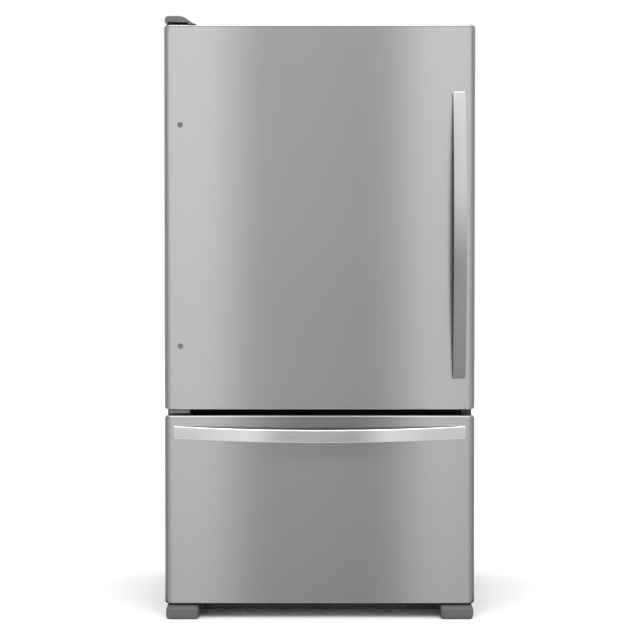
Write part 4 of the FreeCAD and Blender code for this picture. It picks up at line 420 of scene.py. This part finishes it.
class Shape:
    """A mesh that is put together from skins over rings of points."""

    def __init__(self):
        self.mesh = bmesh.new()

    def skin(self, rings, closed=False):
        """Faces over rings of equal count; the ends are capped unless the last joins the first."""
        rows = [[self.mesh.verts.new(point) for point in ring] for ring in rings]
        pairs = list(zip(rows, rows[1:]))
        if closed:
            pairs.append((rows[-1], rows[0]))
        for first, second in pairs:
            for index in range(len(first)):
                after = (index + 1) % len(first)
                self.mesh.faces.new((first[index], first[after], second[after], second[index]))
        if not closed:
            self.mesh.faces.new(rows[0])
            self.mesh.faces.new(rows[-1])
        return self

    def loft(self, axis, sections):
        """Skin over outlines given as (place, outline) along an axis."""
        return self.skin([[along(axis, u, v, place) for u, v in outline] for place, outline in sections])

    def block(self, low, high, radius, corner=None):
        """A box with rounded edges; its upright corners may have a radius of their own."""
        corner = corner or radius
        return self.loft("Z", [
            (z, rounded(low[0] + inset, high[0] - inset, low[1] + inset, high[1] - inset,
                        max(corner - inset, 0.0001)))
            for z, inset in rolled(low[2], high[2], radius)])

    def rod(self, axis, centre, radius, low, high, edge=0.0005, steps=40):
        """A round bar with softened ends."""
        return self.loft(axis, [(place, circle(centre, radius - inset, steps))
                                for place, inset in rolled(low, high, edge, 2)])

    def tub(self, low, high):
        """An open tub with a round-edged floor and a rolled bead round its rim."""

        def section(z, inset):
            return z, rounded(low[0] + inset, high[0] - inset, low[1] + inset, high[1] - inset,
                              max(tub_corner - inset, 0.001))

        floor, top = low[2], high[2]
        lift = min(tub_foot, (top - floor) / 4)
        outside = [(floor + lift * share, tub_step + lift * (1 - share) ** 2) for share in (0, 0.2, 0.5, 1)]
        bead = [(top - tub_bead, tub_step), (top - tub_bead + 0.0008, 0), (top - tub_lip, 0),
                (top, tub_lip), (top, tub_wall - 0.0004), (top - tub_lip, tub_wall)]
        inside = [(floor + tub_wall + lift * share, tub_wall + lift * (1 - share) ** 2)
                  for share in (1, 0.5, 0.2, 0)]
        return self.loft("Z", [section(z, inset) for z, inset in outside + bead + inside])

    def cast(self, name, finish, crowned=False):
        """The finished piece; its flat faces are shaded flat, unless it is crowned."""
        bmesh.ops.recalc_face_normals(self.mesh, faces=self.mesh.faces)
        data = bpy.data.meshes.new(name)
        self.mesh.to_mesh(data)
        self.mesh.free()
        thing = dressed(name, data, finish)
        if not crowned:
            level_normals(thing)
        return thing


def added(name, data):
    """A new object in the scene."""
    thing = bpy.data.objects.new(name, data)
    bpy.context.scene.collection.objects.link(thing)
    return thing


def dressed(name, data, finish):
    """A new object with a finish, shaded smooth between its sharp edges."""
    data.shade_smooth()
    data.set_sharp_from_angle(angle=sharp_angle)
    data.materials.clear()
    data.materials.append(finishes[finish])
    return added(name, data)


def level_normals(thing):
    """Shade flat faces flat beside their rounded edges."""
    normals = thing.modifiers.new("level_normals", "WEIGHTED_NORMAL")
    normals.keep_sharp = True


def fit(thing, body, slot, *replaced):
    """Fix a piece to its body and hide the sub-parts it stands for; its slot is not used."""
    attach(thing, body)
    if replaced:
        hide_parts(*replaced)
    return thing


body_of = {member: body for body, members in frame["record"]["behaviour"]["bodies"].items()
           for member in members}


def softened(node, width, segments=2):
    """A sub-part with its own form and softened edges."""
    data = nodes[node].data.copy()
    data.name = f"{node}_form"
    mesh = bmesh.new()
    mesh.from_mesh(data)
    bmesh.ops.remove_doubles(mesh, verts=mesh.verts, dist=1e-6)
    bmesh.ops.dissolve_limit(mesh, angle_limit=math.radians(1), verts=mesh.verts, edges=mesh.edges)
    mesh.to_mesh(data)
    mesh.free()
    thing = dressed(f"{node}_soft", data, finish_of.get(node, slot_of[node]))
    bevel = thing.modifiers.new("edges", "BEVEL")
    bevel.width = width
    bevel.segments = segments
    bevel.limit_method = "ANGLE"
    bevel.angle_limit = bevel_angle
    level_normals(thing)
    return fit(thing, body_of[node], slot_of[node], node)


# ---------------------------------------------------------------- door and drawer fronts

plan_radius = 0.0165
end_radius = 0.005
corner_radius = 0.009
skin_back_gap = 0.0004
drawer_skirt = 0.0024  # how far the drawer's sheet reaches under it


def front_skin(name, node, longer=0):
    """Folded stainless front: round upright edges, rolled top and bottom, round corners.

    It may reach lower than its sub-part, by longer.
    """
    low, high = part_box(node)
    low.z -= longer
    back = high.y - skin_back_gap
    rises = [corner_radius * share for share in (0, 0.04, 0.12, 0.25, 0.4, 0.55, 0.75, 1)]
    rises.append(corner_radius + 0.002)
    places = [(low.z + rise, rise) for rise in rises] + [(high.z - rise, rise) for rise in reversed(rises)]
    rings = []
    for z, rise in places:
        side = high.x - fallen(rise, corner_radius)
        inset = fallen(rise, end_radius)
        radius = plan_radius - inset
        outline = [(side, back)]
        for corner, turned in ((side - radius, 0), (radius - side, 1)):
            for step in range(9):
                angle = math.pi / 2 * (turned + step / 8)
                outline.append((corner + radius * math.cos(angle),
                                low.y + inset + radius * (1 - math.sin(angle))))
        outline.append((-side, back))
        rings.append([(x, y, z) for x, y in outline])
    shape = Shape().skin(rings)
    fit(shape.cast(name, "front_steel", crowned=True), body_of[node], "stainless", node)


def fallen(rise, radius):
    """How far a rounded edge is drawn in at a height above its start."""
    return radius - math.sqrt(radius ** 2 - max(radius - rise, 0) ** 2)


def sagitta(length, bow, place):
    """How far an arc over a chord has fallen back from its crown, at a place along it."""
    radius = (length * length / 4 + bow * bow) / (2 * bow)
    return radius - math.sqrt(radius * radius - place * place)


handle_bow = 0.044
handle_bar = 0.012
handle_edge = 0.0035
post_inset = 0.094
post_radius = 0.009
collar = 0.002  # how far a post's collar stands out round it
drawer_sag = 0.008
shade_strip_gap = 0.0001  # between a bar and the dark strip along its back, which is painted shade
shade_strip_thickness = 0.0006
shade_strip_margin = 0.003
shade_strip_edge = 0.0002


def bowed_bar(shape, axis, low, high, dip, depth, thickness, margin, edge):
    """A bar along X or Z, bowed away from the door and dipping in its middle."""
    length = high[axis] - low[axis] - 2 * margin
    centre = (low + high) / 2
    across = 2 - axis
    width = high[across] - low[across] - dip - 2 * margin
    middle = low[across] + margin + width / 2
    softness = 0.0016 if thickness > 0.002 else 0.0001
    end = 0.5 - softness / length
    shares = [-end, *[-0.5 + step / 48 for step in range(1, 48)], end]
    stations = [(-0.5, softness), *[(share, 0) for share in shares], (0.5, softness)]
    rings = []
    for share, inset in stations:
        place = share * length
        y = low.y + depth + sagitta(length, handle_bow, place)
        lift = sagitta(length, dip, place) if dip else 0
        half = width / 2 - inset
        outline = rounded(-half, half, inset, thickness - inset, edge, 4, edge * 0.4)
        ring = []
        for a, b in outline:
            point = [0, y + b, 0]
            point[axis] = centre[axis] + place
            point[across] = middle + lift + a
            ring.append(tuple(point))
        rings.append(ring)
    shape.skin(rings)


def posts(shape, axis, low, high, dip):
    """Two round posts with collars, from the bar to the door."""
    length = high[axis] - low[axis]
    across = 2 - axis
    for side in (-1, 1):
        place = (length / 2 - post_inset) * side
        spot = [0, 0, 0]
        spot[axis] = (low[axis] + high[axis]) / 2 + place
        spot[across] = (low[across] + high[across] - dip) / 2 + (sagitta(length, dip, place) if dip else 0)
        start = low.y + sagitta(length, handle_bow, place) + handle_bar * 0.6
        shape.rod("Y", (spot[0], spot[2]), post_radius, start, high.y)
        shape.rod("Y", (spot[0], spot[2]), post_radius + collar, high.y - 0.003, high.y, 0.0008)


def handles():
    """Bowed satin bars with rounded edges, painted brighter on the door handle's, and a dark strip along each
    back: painted shade for the bar's shaded back, as the fronts mirror it.
    """
    for node, body, axis, dip, finish, back in (
            ("door_handle", "door", 2, 0, "handle_steel", "shade_strip_dark"),
            ("drawer_handle", "drawer", 0, drawer_sag, "handle_steel_level_lit", "grey_plastic")):
        low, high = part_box(node)
        shape = Shape()
        bowed_bar(shape, axis, low, high, dip, 0, handle_bar, 0, handle_edge)
        posts(shape, axis, low, high, dip)
        fit(shape.cast(f"{node}_bar", finish), body, "handle_steel", node)
        # A dark strip on the bar's back: painted shade, which the fronts mirror.
        strip = Shape()
        bowed_bar(strip, axis, low, high, dip, handle_bar + shade_strip_gap, shade_strip_thickness, shade_strip_margin,
                  shade_strip_edge)
        fit(strip.cast(f"{node}_shade_strip", back), body, "dark_plastic")


def plugs():
    """Domed plugs in the unused handle holes."""
    low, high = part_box("door_plugs")
    shape = Shape()
    radius = (high.x - low.x) / 2
    for z in (low.z + radius, high.z - radius):
        centre = ((low.x + high.x) / 2, z)
        profile = [(high.y, radius), (low.y + 0.0008, radius), (low.y + 0.0003, radius - 0.0008),
                   (low.y, radius * 0.6), (low.y + 0.0001, radius * 0.2)]
        shape.loft("Y", [(y, circle(centre, size)) for y, size in profile])
    fit(shape.cast("handle_hole_plugs", "grey_plastic"), "door", "grey_plastic", "door_plugs")


def foam_core(name, node):
    """Foamed-in insulation inside a front."""
    low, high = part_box(node)
    inset = Vector((0.0006, 0.0006, 0.0006))
    shape = Shape().block(low + inset, high - inset, 0.009, 0.016)
    fit(shape.cast(name, "foam"), body_of[node], "foam", node)


def hinge_cap():
    """Moulded cap over the top hinge: level on its left, falling to the door's top on its right."""
    low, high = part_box("hinge_cover")
    face = low.y - 0.0055
    front_top = high.z - 0.0040
    foot = low.z - 0.0015
    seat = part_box("top_hinge")[0].z
    cabinet_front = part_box("cabinet_shell")[0].y
    # From the left end: places and drops of the top, then back along the lower edge, with its rises.
    crest = [(0, -0.0120), (0.0010, -0.0065), (0.0040, -0.0025), (0.0090, -0.0004), (0.0210, 0.0),
             (0.0430, 0.0), (0.0500, -0.0008), (0.0570, -0.0032), (0.0660, -0.0084), (0.0740, -0.0142),
             (0.0815, -0.0192), (0.0910, -0.0240)]
    lip = [(0.0929, -0.0012), (0.0912, -0.0015), (0.0720, -0.0015), (0.0710, -0.0006), (0.0702, 0.0030),
           (0.0680, 0.0040), (0.0018, 0.0064), (0.0004, 0.0076)]

    def section(y, inset, corner, top, bottom):
        """Outline at a depth: the crest drawn in, with its left corner, over the lip or the cabinet."""
        start = max(inset, corner)
        upper = [(low.x + max(x, start), max(top + drop - inset, bottom + 0.0012)) for x, drop in crest]
        return y, upper + [(low.x + max(x, start), max(low.z + rise, bottom)) for x, rise in lip]

    rows = [section(face + back, inset, corner, front_top, foot) for back, inset, corner in (
        (0, 0.0022, 0.0165), (0.0006, 0.0009, 0.0130), (0.0024, 0, 0.0090), (0.0050, 0, 0.0056),
        (0.0085, 0, 0.0028), (0.0125, 0, 0.0009), (0.0170, 0, 0))]
    rows += [section(cabinet_front - 0.013, 0, 0, high.z - 0.0008, foot),
             section(cabinet_front + 0.0005, 0, 0, high.z - 0.0004, seat),
             section(high.y - 0.006, 0, 0, high.z, seat), section(high.y - 0.0015, 0.0018, 0, high.z, seat),
             section(high.y, 0.0045, 0, high.z, seat)]
    shape = Shape().loft("Y", rows)
    fit(shape.cast("hinge_cap", "grey_plastic"), "cabinet", "grey_plastic", "hinge_cover")


def foot_caps():
    """Moulded covers over the front legs, with a broad slope under the drawer and soft lower corners."""
    low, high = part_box("foot_covers")
    width = 0.095
    shift = 0.003
    nose = low.y - 0.0225
    # The height, and how far the sides and the front stand in there.
    profile = ((0.0004, 0.0060, 0.0022), (0.0014, 0.0038, 0.0010), (0.0034, 0.0020, 0.0002),
               (0.0080, 0.0006, 0), (0.0120, 0, 0), (0.0278, 0.0004, 0), (0.0288, 0.0005, 0.0007),
               (0.0362, 0.0026, 0.0170), (0.0374, 0.0032, 0.0190), (0.0382, 0.0045, 0.0220))
    shape = Shape()
    for left in (low.x + shift, high.x - width - shift):
        shape.loft("Z", [
            (z, rounded(left + side, left + width - side, nose + front, high.y, 0.009, 6, 0.002))
            for z, side, front in profile])
    # Painted shade: the caps take a darker copy of the grey plastic.
    fit(shape.cast("foot_caps", "foot_plastic_shaded"), "cabinet", "grey_plastic", "foot_covers")


def seal(name, node):
    """Bellows seal: a clip foot on the door, folded walls and a magnet head."""
    low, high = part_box(node)
    depth = high.y - low.y
    # How far in from the outer edge, and the share of the depth.
    section = [(0.000, 0.00), (0.014, 0.00), (0.0135, 0.14), (0.0105, 0.20), (0.0128, 0.34), (0.0098, 0.46),
               (0.0130, 0.58), (0.0136, 0.62), (0.0140, 0.80), (0.0136, 0.96), (0.0125, 1.00), (0.0015, 1.00),
               (0.0004, 0.96), (0.0, 0.80), (0.0004, 0.62), (0.0012, 0.58), (0.0042, 0.46), (0.0015, 0.34),
               (0.0035, 0.20), (0.0005, 0.14)]
    rings = []
    for x, z in ((-1, -1), (1, -1), (1, 1), (-1, 1)):
        ring = []
        for inset, share in section:
            side = high.x - inset if x > 0 else low.x + inset
            end = high.z - inset if z > 0 else low.z + inset
            ring.append((side, low.y + depth * share, end))
        rings.append(ring)
    shape = Shape().skin(rings, closed=True)
    fit(shape.cast(name, "gasket_rubber"), body_of[node], "gasket_rubber", node)


def inner_sheet(name, node):
    """Vacuum-formed inner door with its raised rim."""
    low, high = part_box(node)
    back = high.y
    plate = low.y + 0.003
    rim = 0.014
    dike_side = 0.3815  # half width over the raised rim
    dike_end = 0.043  # from the sheet's ends to the raised rim

    def section(y, inset, radius):
        return y, rounded(low.x + inset, high.x - inset, low.z + inset, high.z - inset, radius)

    def raised(y, inset, radius):
        return y, rounded(-dike_side + inset, dike_side - inset, low.z + dike_end + inset,
                          high.z - dike_end - inset, radius)

    shape = Shape().loft("Y", [
        section(low.y, 0, 0.004), section(plate - 0.0005, 0, 0.004), section(plate, 0.0005, 0.004),
        raised(plate, -0.006, 0.024), raised(plate + 0.0012, -0.0025, 0.021), raised(plate + 0.005, 0, 0.018),
        raised(back - 0.004, 0.0012, 0.017), raised(back - 0.0012, 0.0024, 0.016),
        raised(back, 0.005, 0.014), raised(back, rim - 0.005, 0.009),
        raised(back - 0.0012, rim - 0.0024, 0.0066), raised(back - 0.004, rim - 0.0012, 0.006),
        raised(plate + 0.008, rim, 0.005), raised(plate + 0.002, rim + 0.003, 0.008),
        raised(plate + 0.0004, rim + 0.009, 0.014)])
    fit(shape.cast(name, "white_plastic"), body_of[node], "white_plastic", node)


# ---------------------------------------------------------------- storage


def clear_tub(name, body, low, high, *stands_for):
    """A tub of clear plastic on a body."""
    shape = Shape().tub(low, high)
    fit(shape.cast(name, "clear_plastic"), body, "clear_plastic", *stands_for)


def bins():
    """Door bins of clear plastic with rolled rims and white trim bands along their fronts."""
    low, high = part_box("door_bins")
    height = 0.096
    for name, bottom in (("bin_lower", low.z), ("bin_upper", high.z - height)):
        top = bottom + height
        stands_for = ("door_bins",) if name == "bin_lower" else ()
        clear_tub(name, "door", (low.x, low.y, bottom), (high.x, high.y, top), *stands_for)
        trim_band(f"{name}_band", low, high, top)
    low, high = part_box("gallon_bin")
    clear_tub("gallon_bin_tub", "door", low, high, "gallon_bin")
    trim_band("gallon_bin_band", low, high, high.z)


def trim_band(name, low, high, top):
    """Glossy band just inside the rim of a bin's front."""
    side = 0.012
    shape = Shape().block((low.x + side, high.y - 0.0048, top - 0.022),
                          (high.x - side, high.y - 0.0024, top - 0.003), 0.0008)
    fit(shape.cast(name, "white_plastic"), "door", "white_plastic")


def shelf_panes():
    """Glass with ground edges: one over the crispers and one in each shelf frame."""
    low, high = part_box("glass_shelves")
    frame_low, frame_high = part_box("shelf_frames")
    frame_height = 0.016
    thickness = 0.004
    pitch = (frame_high.z - frame_low.z - frame_height) / 2
    tops = [low.z + thickness, *[frame_low.z + frame_height - 0.0003 + pitch * index for index in range(3)]]
    for number, top in enumerate(tops):
        shape = Shape().block((low.x, low.y, top - thickness), (high.x, high.y, top), 0.0008, 0.004)
        stands_for = ("glass_shelves",) if number == 0 else ()
        fit(shape.cast(f"pane_{number}", "shelf_glass"), "cabinet", "shelf_glass", *stands_for)


def drawers():
    """Clear crispers with a grip lip, the deep basket and the sliding upper basket."""
    for node in ("crisper_left", "crisper_right"):
        low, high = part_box(node)
        front = low.y + 0.014
        shape = Shape().tub((low.x, front, low.z), high)
        shape.block((low.x + 0.01, low.y, high.z - 0.010), (high.x - 0.01, front + 0.002, high.z - 0.005),
                    0.0015)
        fit(shape.cast(f"{node}_tub", "clear_plastic"), node, "clear_plastic", node)
    softened("freezer_basket_lower", 0.0008)
    low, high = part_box("freezer_basket_upper")
    clear_tub("upper_basket_tub", "upper_basket", low, high, "freezer_basket_upper")


def fridge_tub():
    """Glossy inner tub of the upper compartment with round corners and the crisper ledges."""
    low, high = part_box("fridge_liner")
    frame_low, frame_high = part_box("crisper_frame")
    wall = 0.002
    side = 0.400  # half width of the hollow
    ledge = 0.013
    ledge_top = frame_high.z - 0.016
    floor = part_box("crisper_left")[0].z - 0.0003
    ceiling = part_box("control_housing")[1].z
    front = low.y
    back = high.y - wall

    def flange(y, inset):
        return y, rounded(low.x + inset, high.x - inset, low.z + inset, high.z - inset, 0.004)

    def hollow(y, inset, radius):
        return y, rounded(inset - side, side - inset, floor + inset, ceiling - inset, radius)

    shape = Shape().loft("Y", [
        hollow(back + wall, -wall, 0.02), hollow(front + wall, -wall, 0.02),
        flange(front + wall, 0), flange(front + 0.0004, 0), flange(front, 0.0006),
        hollow(front, -0.006, 0.024), hollow(front + 0.0018, -0.0018, 0.02), hollow(front + 0.006, 0, 0.018),
        hollow(back - 0.02, 0, 0.018), hollow(back - 0.006, 0.002, 0.018),
        hollow(back - 0.001, 0.008, 0.02), hollow(back, 0.018, 0.02)])
    for left, right in ((-side, -side + ledge), (side - ledge, side)):
        shape.block((left, frame_low.y, ledge_top - 0.008), (right, frame_high.y, ledge_top), 0.002)
    fit(shape.cast("fridge_tub", "white_plastic"), "cabinet", "white_plastic", "fridge_liner")


# ---------------------------------------------------------------- cooling, machine room, base


roller_inset = 0.020  # from a roller's middle to the end of its axle
roller_width = 0.022
axle_radius = 0.004


def wheel(shape, x, centre, radius):
    """Ribbed plastic roller."""
    half = roller_width / 2
    profile = [(-half, 0.45), (-half, 0.86), (-half + 0.001, 0.97), (-half + 0.003, 1), (-0.002, 1),
               (-0.0015, 0.95), (0.0015, 0.95), (0.002, 1), (half - 0.003, 1), (half - 0.001, 0.97),
               (half, 0.86), (half, 0.45)]
    shape.loft("X", [(x + place, circle(centre, radius * share)) for place, share in profile])


def rollers():
    """Two pairs of rollers on their axles."""
    for node in ("front_rollers", "rear_rollers"):
        low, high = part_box(node)
        centre = ((low.y + high.y) / 2, (low.z + high.z) / 2)
        radius = (high.z - low.z) / 2
        shape = Shape()
        middle = high.x - roller_inset
        for x in (-middle, middle):
            wheel(shape, x, centre, radius)
            shape.rod("X", centre, axle_radius, x - roller_inset, x + roller_inset)
        fit(shape.cast(f"{node}_turned", "dark_plastic"), body_of[node], "dark_plastic", node)


def legs():
    """Threaded leveling legs on round feet."""
    foot_height = 0.009
    pitch = 0.0015
    for node in ("leveling_leg_left", "leveling_leg_right"):
        low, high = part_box(node)
        centre = ((low.x + high.x) / 2, (low.y + high.y) / 2)
        shape = Shape().rod("Z", centre, (high.x - low.x) / 2, low.z, low.z + foot_height, 0.0015)
        start = low.z + foot_height - 0.0005
        turns = int((high.z - low.z - foot_height) / pitch)
        shape.loft("Z", [(start + pitch * (turn + share), circle(centre, radius, 24))
                         for turn in range(turns) for share, radius in ((0, 0.0044), (0.5, 0.005))])
        fit(shape.cast(f"{node}_thread", "zinc_steel"), node, "zinc_steel", node)


def compressor():
    """Welded can: domed shell, seam, foot plate and tube stubs."""
    low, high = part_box("compressor")
    radius = 0.078
    neck = radius - 0.001  # the shell above and below its seam
    reach = 0.112  # from the can's middle to the ends of its foot plate
    dome = 0.034
    x, y = high.x - reach, (low.y + high.y) / 2
    base = low.z + 0.003
    seam = base + 0.085
    shape = Shape().block((x - reach, low.y, low.z), (high.x, high.y, base), 0.001, 0.011)
    profile = [(base, radius - 0.006), (base + 0.004, neck), (seam - 0.004, neck), (seam - 0.002, radius),
               (seam + 0.002, radius), (seam + 0.004, neck)]
    for step in range(9):
        turn = math.pi / 2 * step / 8
        profile.append((high.z - dome + dome * math.sin(turn), neck - dome + dome * math.cos(turn)))
    shape.loft("Z", [(z, circle((x, y), size, 56)) for z, size in profile])
    for depth in (y - 0.024, y):
        shape.rod("X", (depth, seam - 0.001), 0.004, low.x, x - 0.06, 0.0006, 24)
    fit(shape.cast("compressor_can", "compressor_black"), "cabinet", "compressor_black", "compressor")


def pressed_back():
    """Flat steel back with pressed stiffening panels, three high and two wide."""
    low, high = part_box("back_panel")
    margin = 0.08
    gap = 0.02  # half of the plain strip between two panels, one over the other
    corner = 0.03
    pitch = (high.z - low.z - 2 * margin) / 3
    # How far the panel's slope lies in front of the back's face, and how far it is drawn in there.
    slope = ((0.00095, 0), (0.0008, 0.0008), (0.00015, 0.0030), (0.00002, 0.0040), (0, 0.0055))
    shape = Shape().block(low, (high.x, high.y - 0.0009, high.z), 0.0001)
    for index in range(3):
        bottom = low.z + margin + pitch * index + gap
        top = bottom + pitch - 2 * gap
        for left, right in ((low.x + margin, -0.03), (0.03, high.x - margin)):
            shape.loft("Y", [
                (high.y - drop, rounded(left + inset, right - inset, bottom + inset, top - inset,
                                        corner - inset)) for drop, inset in slope])
    fit(shape.cast("back_sheet", "galvanised"), "cabinet", "galvanised", "back_panel")


def dial():
    """Ribbed temperature dial with a pointer, and its numbers on the housing."""
    low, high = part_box("temperature_dial")
    radius = (high.x - low.x) / 2
    x, z = (low.x + high.x) / 2, (low.z + high.z) / 2
    skirt = low.y + 0.012
    ribs = 24

    def ribbed(size):
        """A circle with a groove beside each rib."""
        outline = []
        for step in range(3 * ribs):
            turn = math.tau * step / (3 * ribs)
            reach = size * (1 - 0.035 * (step % 3 == 0))
            outline.append((x + reach * math.cos(turn), z + reach * math.sin(turn)))
        return outline

    shape = Shape().loft("Y", [(low.y, ribbed(radius * 0.86)), (low.y + 0.0012, ribbed(radius * 0.94)),
                               (skirt - 0.001, ribbed(radius)), (skirt, ribbed(radius * 0.97))])
    shape.rod("Y", (x, z), 0.003, skirt - 0.001, high.y)
    shape.block((x - 0.0008, low.y, z + 0.003), (x + 0.0008, low.y + 0.001, z + 0.0095), 0.0002)
    fit(shape.cast("dial_knob", "white_plastic"), "temperature_dial", "white_plastic", "temperature_dial")
    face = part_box("control_housing")[0].y
    for number in range(1, 6):
        turn = math.radians(210 - 60 * (number - 1))
        words = bpy.data.curves.new(f"dial_number_{number}", "FONT")
        words.body = str(number)
        words.size = 0.006
        words.extrude = 0.0001
        words.align_x = "CENTER"
        words.align_y = "CENTER"
        words.materials.append(finishes["dark_plastic"])
        thing = added(f"dial_number_{number}", words)
        spot = (x + 0.0155 * math.cos(turn), face - 0.0001, z + 0.0115 * math.sin(turn))
        thing.matrix_world = Matrix.Translation(spot) @ Matrix.Rotation(math.pi / 2, 4, "X")
        fit(thing, "cabinet", "dark_plastic")


edge_widths = {
    "base_grille": 0.0003, "center_hinge": 0.0012, "top_hinge": 0.0008, "cabinet_shell": 0.0004,
    "shelf_frames": 0.0020, "crisper_frame": 0.0012, "dairy_bin": 0.0010, "dairy_flap": 0.0008,
    "air_duct": 0.0020, "control_housing": 0.0015, "evaporator_cover": 0.0008, "drain_pan": 0.0008,
    "rear_cover": 0.0003, "shelf_ladders": 0.0005, "door_bushings": 0.0006, "fasteners": 0.0005,
    "mullion_rail": 0.0004, "light_lens": 0.0006, "fan_motors": 0.0006, "evaporator_fan": 0.0005,
    "condenser_fan": 0.0005, "rubber_grommets": 0.0006}

hinge_cap()
foot_caps()
front_skin("door_front", "door_skin")
front_skin("drawer_front", "drawer_skin", drawer_skirt)
foam_core("door_core", "door_foam")
foam_core("drawer_core", "drawer_foam")
handles()
plugs()
seal("door_seal", "door_gasket")
seal("drawer_seal", "drawer_gasket")
inner_sheet("door_inner", "door_liner")
inner_sheet("drawer_inner", "drawer_liner")
bins()
shelf_panes()
drawers()
fridge_tub()
rollers()
legs()
compressor()
pressed_back()
dial()
for node, width in edge_widths.items():
    softened(node, width, 3)

# ---------------------------------------------------------------- studio

door_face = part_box("door_skin")[0].y
camera_distance = 5.0  # from the door's face
camera_height = 0.992
camera_side = 0.0009
camera_tilt = math.radians(1.383)
focal_pixels = 1719.0
image_pixels = 640
sensor_millimetres = 36
card_distance = 1.4  # from the door's face to the cards in front
card_thickness = 0.002
card_reach = 1.3  # half width of the front card
card_foot, card_head = -1.2, 2.3
side_card = 1.6  # from the middle to the cards beside the object
sun_strength = 1.5
sun_spread = math.radians(45)
sun_tilt = math.radians(28)  # forward from straight above


def camera():
    """The photograph's camera, a little right of the middle and tilted down."""
    data = bpy.data.cameras.new("camera")
    data.sensor_width = sensor_millimetres
    data.lens = sensor_millimetres * focal_pixels / image_pixels
    thing = added("camera", data)
    thing.location = (camera_side, door_face - camera_distance, camera_height)
    thing.rotation_euler = (math.pi / 2 - camera_tilt, 0, 0)
    bpy.context.scene.camera = thing


def studio_floor():
    """Pale seamless floor, out of the reflections: the steel mirrors the front card in its place."""
    shape = Shape().block((-14, -14, -0.05), (14, 14, -0.0005), 0.001)
    paper = Finish("studio_paper")
    grain = paper.noise(40)
    finishes["paper"] = paper.shade(
        Base_Color=paper.colour(grain, (0.92, 0.92, 0.92), (0.94, 0.94, 0.94)), Roughness=0.8 + grain * 0.1)
    floor = shape.cast("studio_floor", "paper")
    floor.visible_glossy = False


def mirrored_only(thing):
    """Keep a studio card out of sight and shadow, so that only reflections see it."""
    thing.visible_camera = False
    thing.visible_shadow = False
    thing.visible_diffuse = False
    thing.visible_transmission = False


def lit_card(name, low, high, across, upward, axis="X"):
    """A studio card with its light levels across and upward, as (place, level) stops."""
    card = Finish(f"{name}_card")

    def levels(place, stops):
        first, last = stops[0][0], stops[-1][0]
        shares = [((spot - first) / (last - first), level) for spot, level in stops]
        return card.node("ValToRGB", {"stops": shares}, {0: (place - first) * (1 / (last - first))})

    level = card.colour(1.0, levels(card.spot(axis), across), levels(card.spot("Z"), upward),
                        blend_type="MULTIPLY")
    finishes[name] = card.shade(Base_Color=(0, 0, 0, 1), Specular_IOR_Level=0.0, Roughness=1.0,
                                Emission_Color=level, Emission_Strength=1.0)
    mirrored_only(Shape().block(low, high, 0.0005).cast(name, name))


def cards():
    """A graded card in front, a bright patch above its right, grey cards beside, a dark one below."""
    y = door_face - card_distance
    upward = [(card_foot, 0.6), (-0.2, 0.72), (0.0, 0.79), (0.3, 0.84), (0.42, 0.86), (0.55, 0.93),
              (0.9, 0.93), (1.2, 1.0), (card_head, 1.08)]
    across = [(-card_reach, 0.60), (-0.8, 0.85), (-0.55, 1.02), (-0.45, 1.02), (-0.34, 0.42), (-0.1, 0.53),
              (0.1, 0.50), (0.34, 0.33), (0.43, 0.91), (0.53, 1.05), (0.62, 0.86), (0.8, 0.75),
              (card_reach, 0.60)]
    lit_card("front_reflector", (-card_reach, y, card_foot), (card_reach, y + card_thickness, card_head),
             across, upward)
    even = [(-1.0, 1.0), (2.4, 1.0)]
    bright = [(-1.0, 0.9), (2.0, 0.9)]
    dark = [(-1.0, 0.07), (2.0, 0.07)]
    grey = [(y, 0.5), (1.0, 0.5)]
    lit_card("high_panel", (0.62, y + 0.05, 1.6), (1.0, y + 0.05 + card_thickness, card_head), bright, even)
    for name, x in (("left_card", -side_card), ("right_card", side_card)):
        lit_card(name, (x, y, card_foot), (x + card_thickness, 1.0, card_head), grey, upward, "Y")
    lit_card("under_card", (-0.7, -0.40, -0.004), (0.7, 0.60, -0.002), dark, even)


def sun():
    """Broad soft light from above and slightly in front."""
    data = bpy.data.lights.new("sky_panel", "SUN")
    data.energy = sun_strength
    data.angle = sun_spread
    added("sky_panel", data).rotation_euler = (sun_tilt, 0, 0)


def world():
    """Even white surroundings."""
    sky = bpy.data.worlds.new("studio")
    sky.use_nodes = True
    light = sky.node_tree.nodes["Background"]
    light.inputs["Color"].default_value = (1, 1, 1, 1)
    light.inputs["Strength"].default_value = 1.0
    bpy.context.scene.world = sky
    bpy.context.scene.view_settings.view_transform = "Standard"


camera()
studio_floor()
cards()
sun()
world()
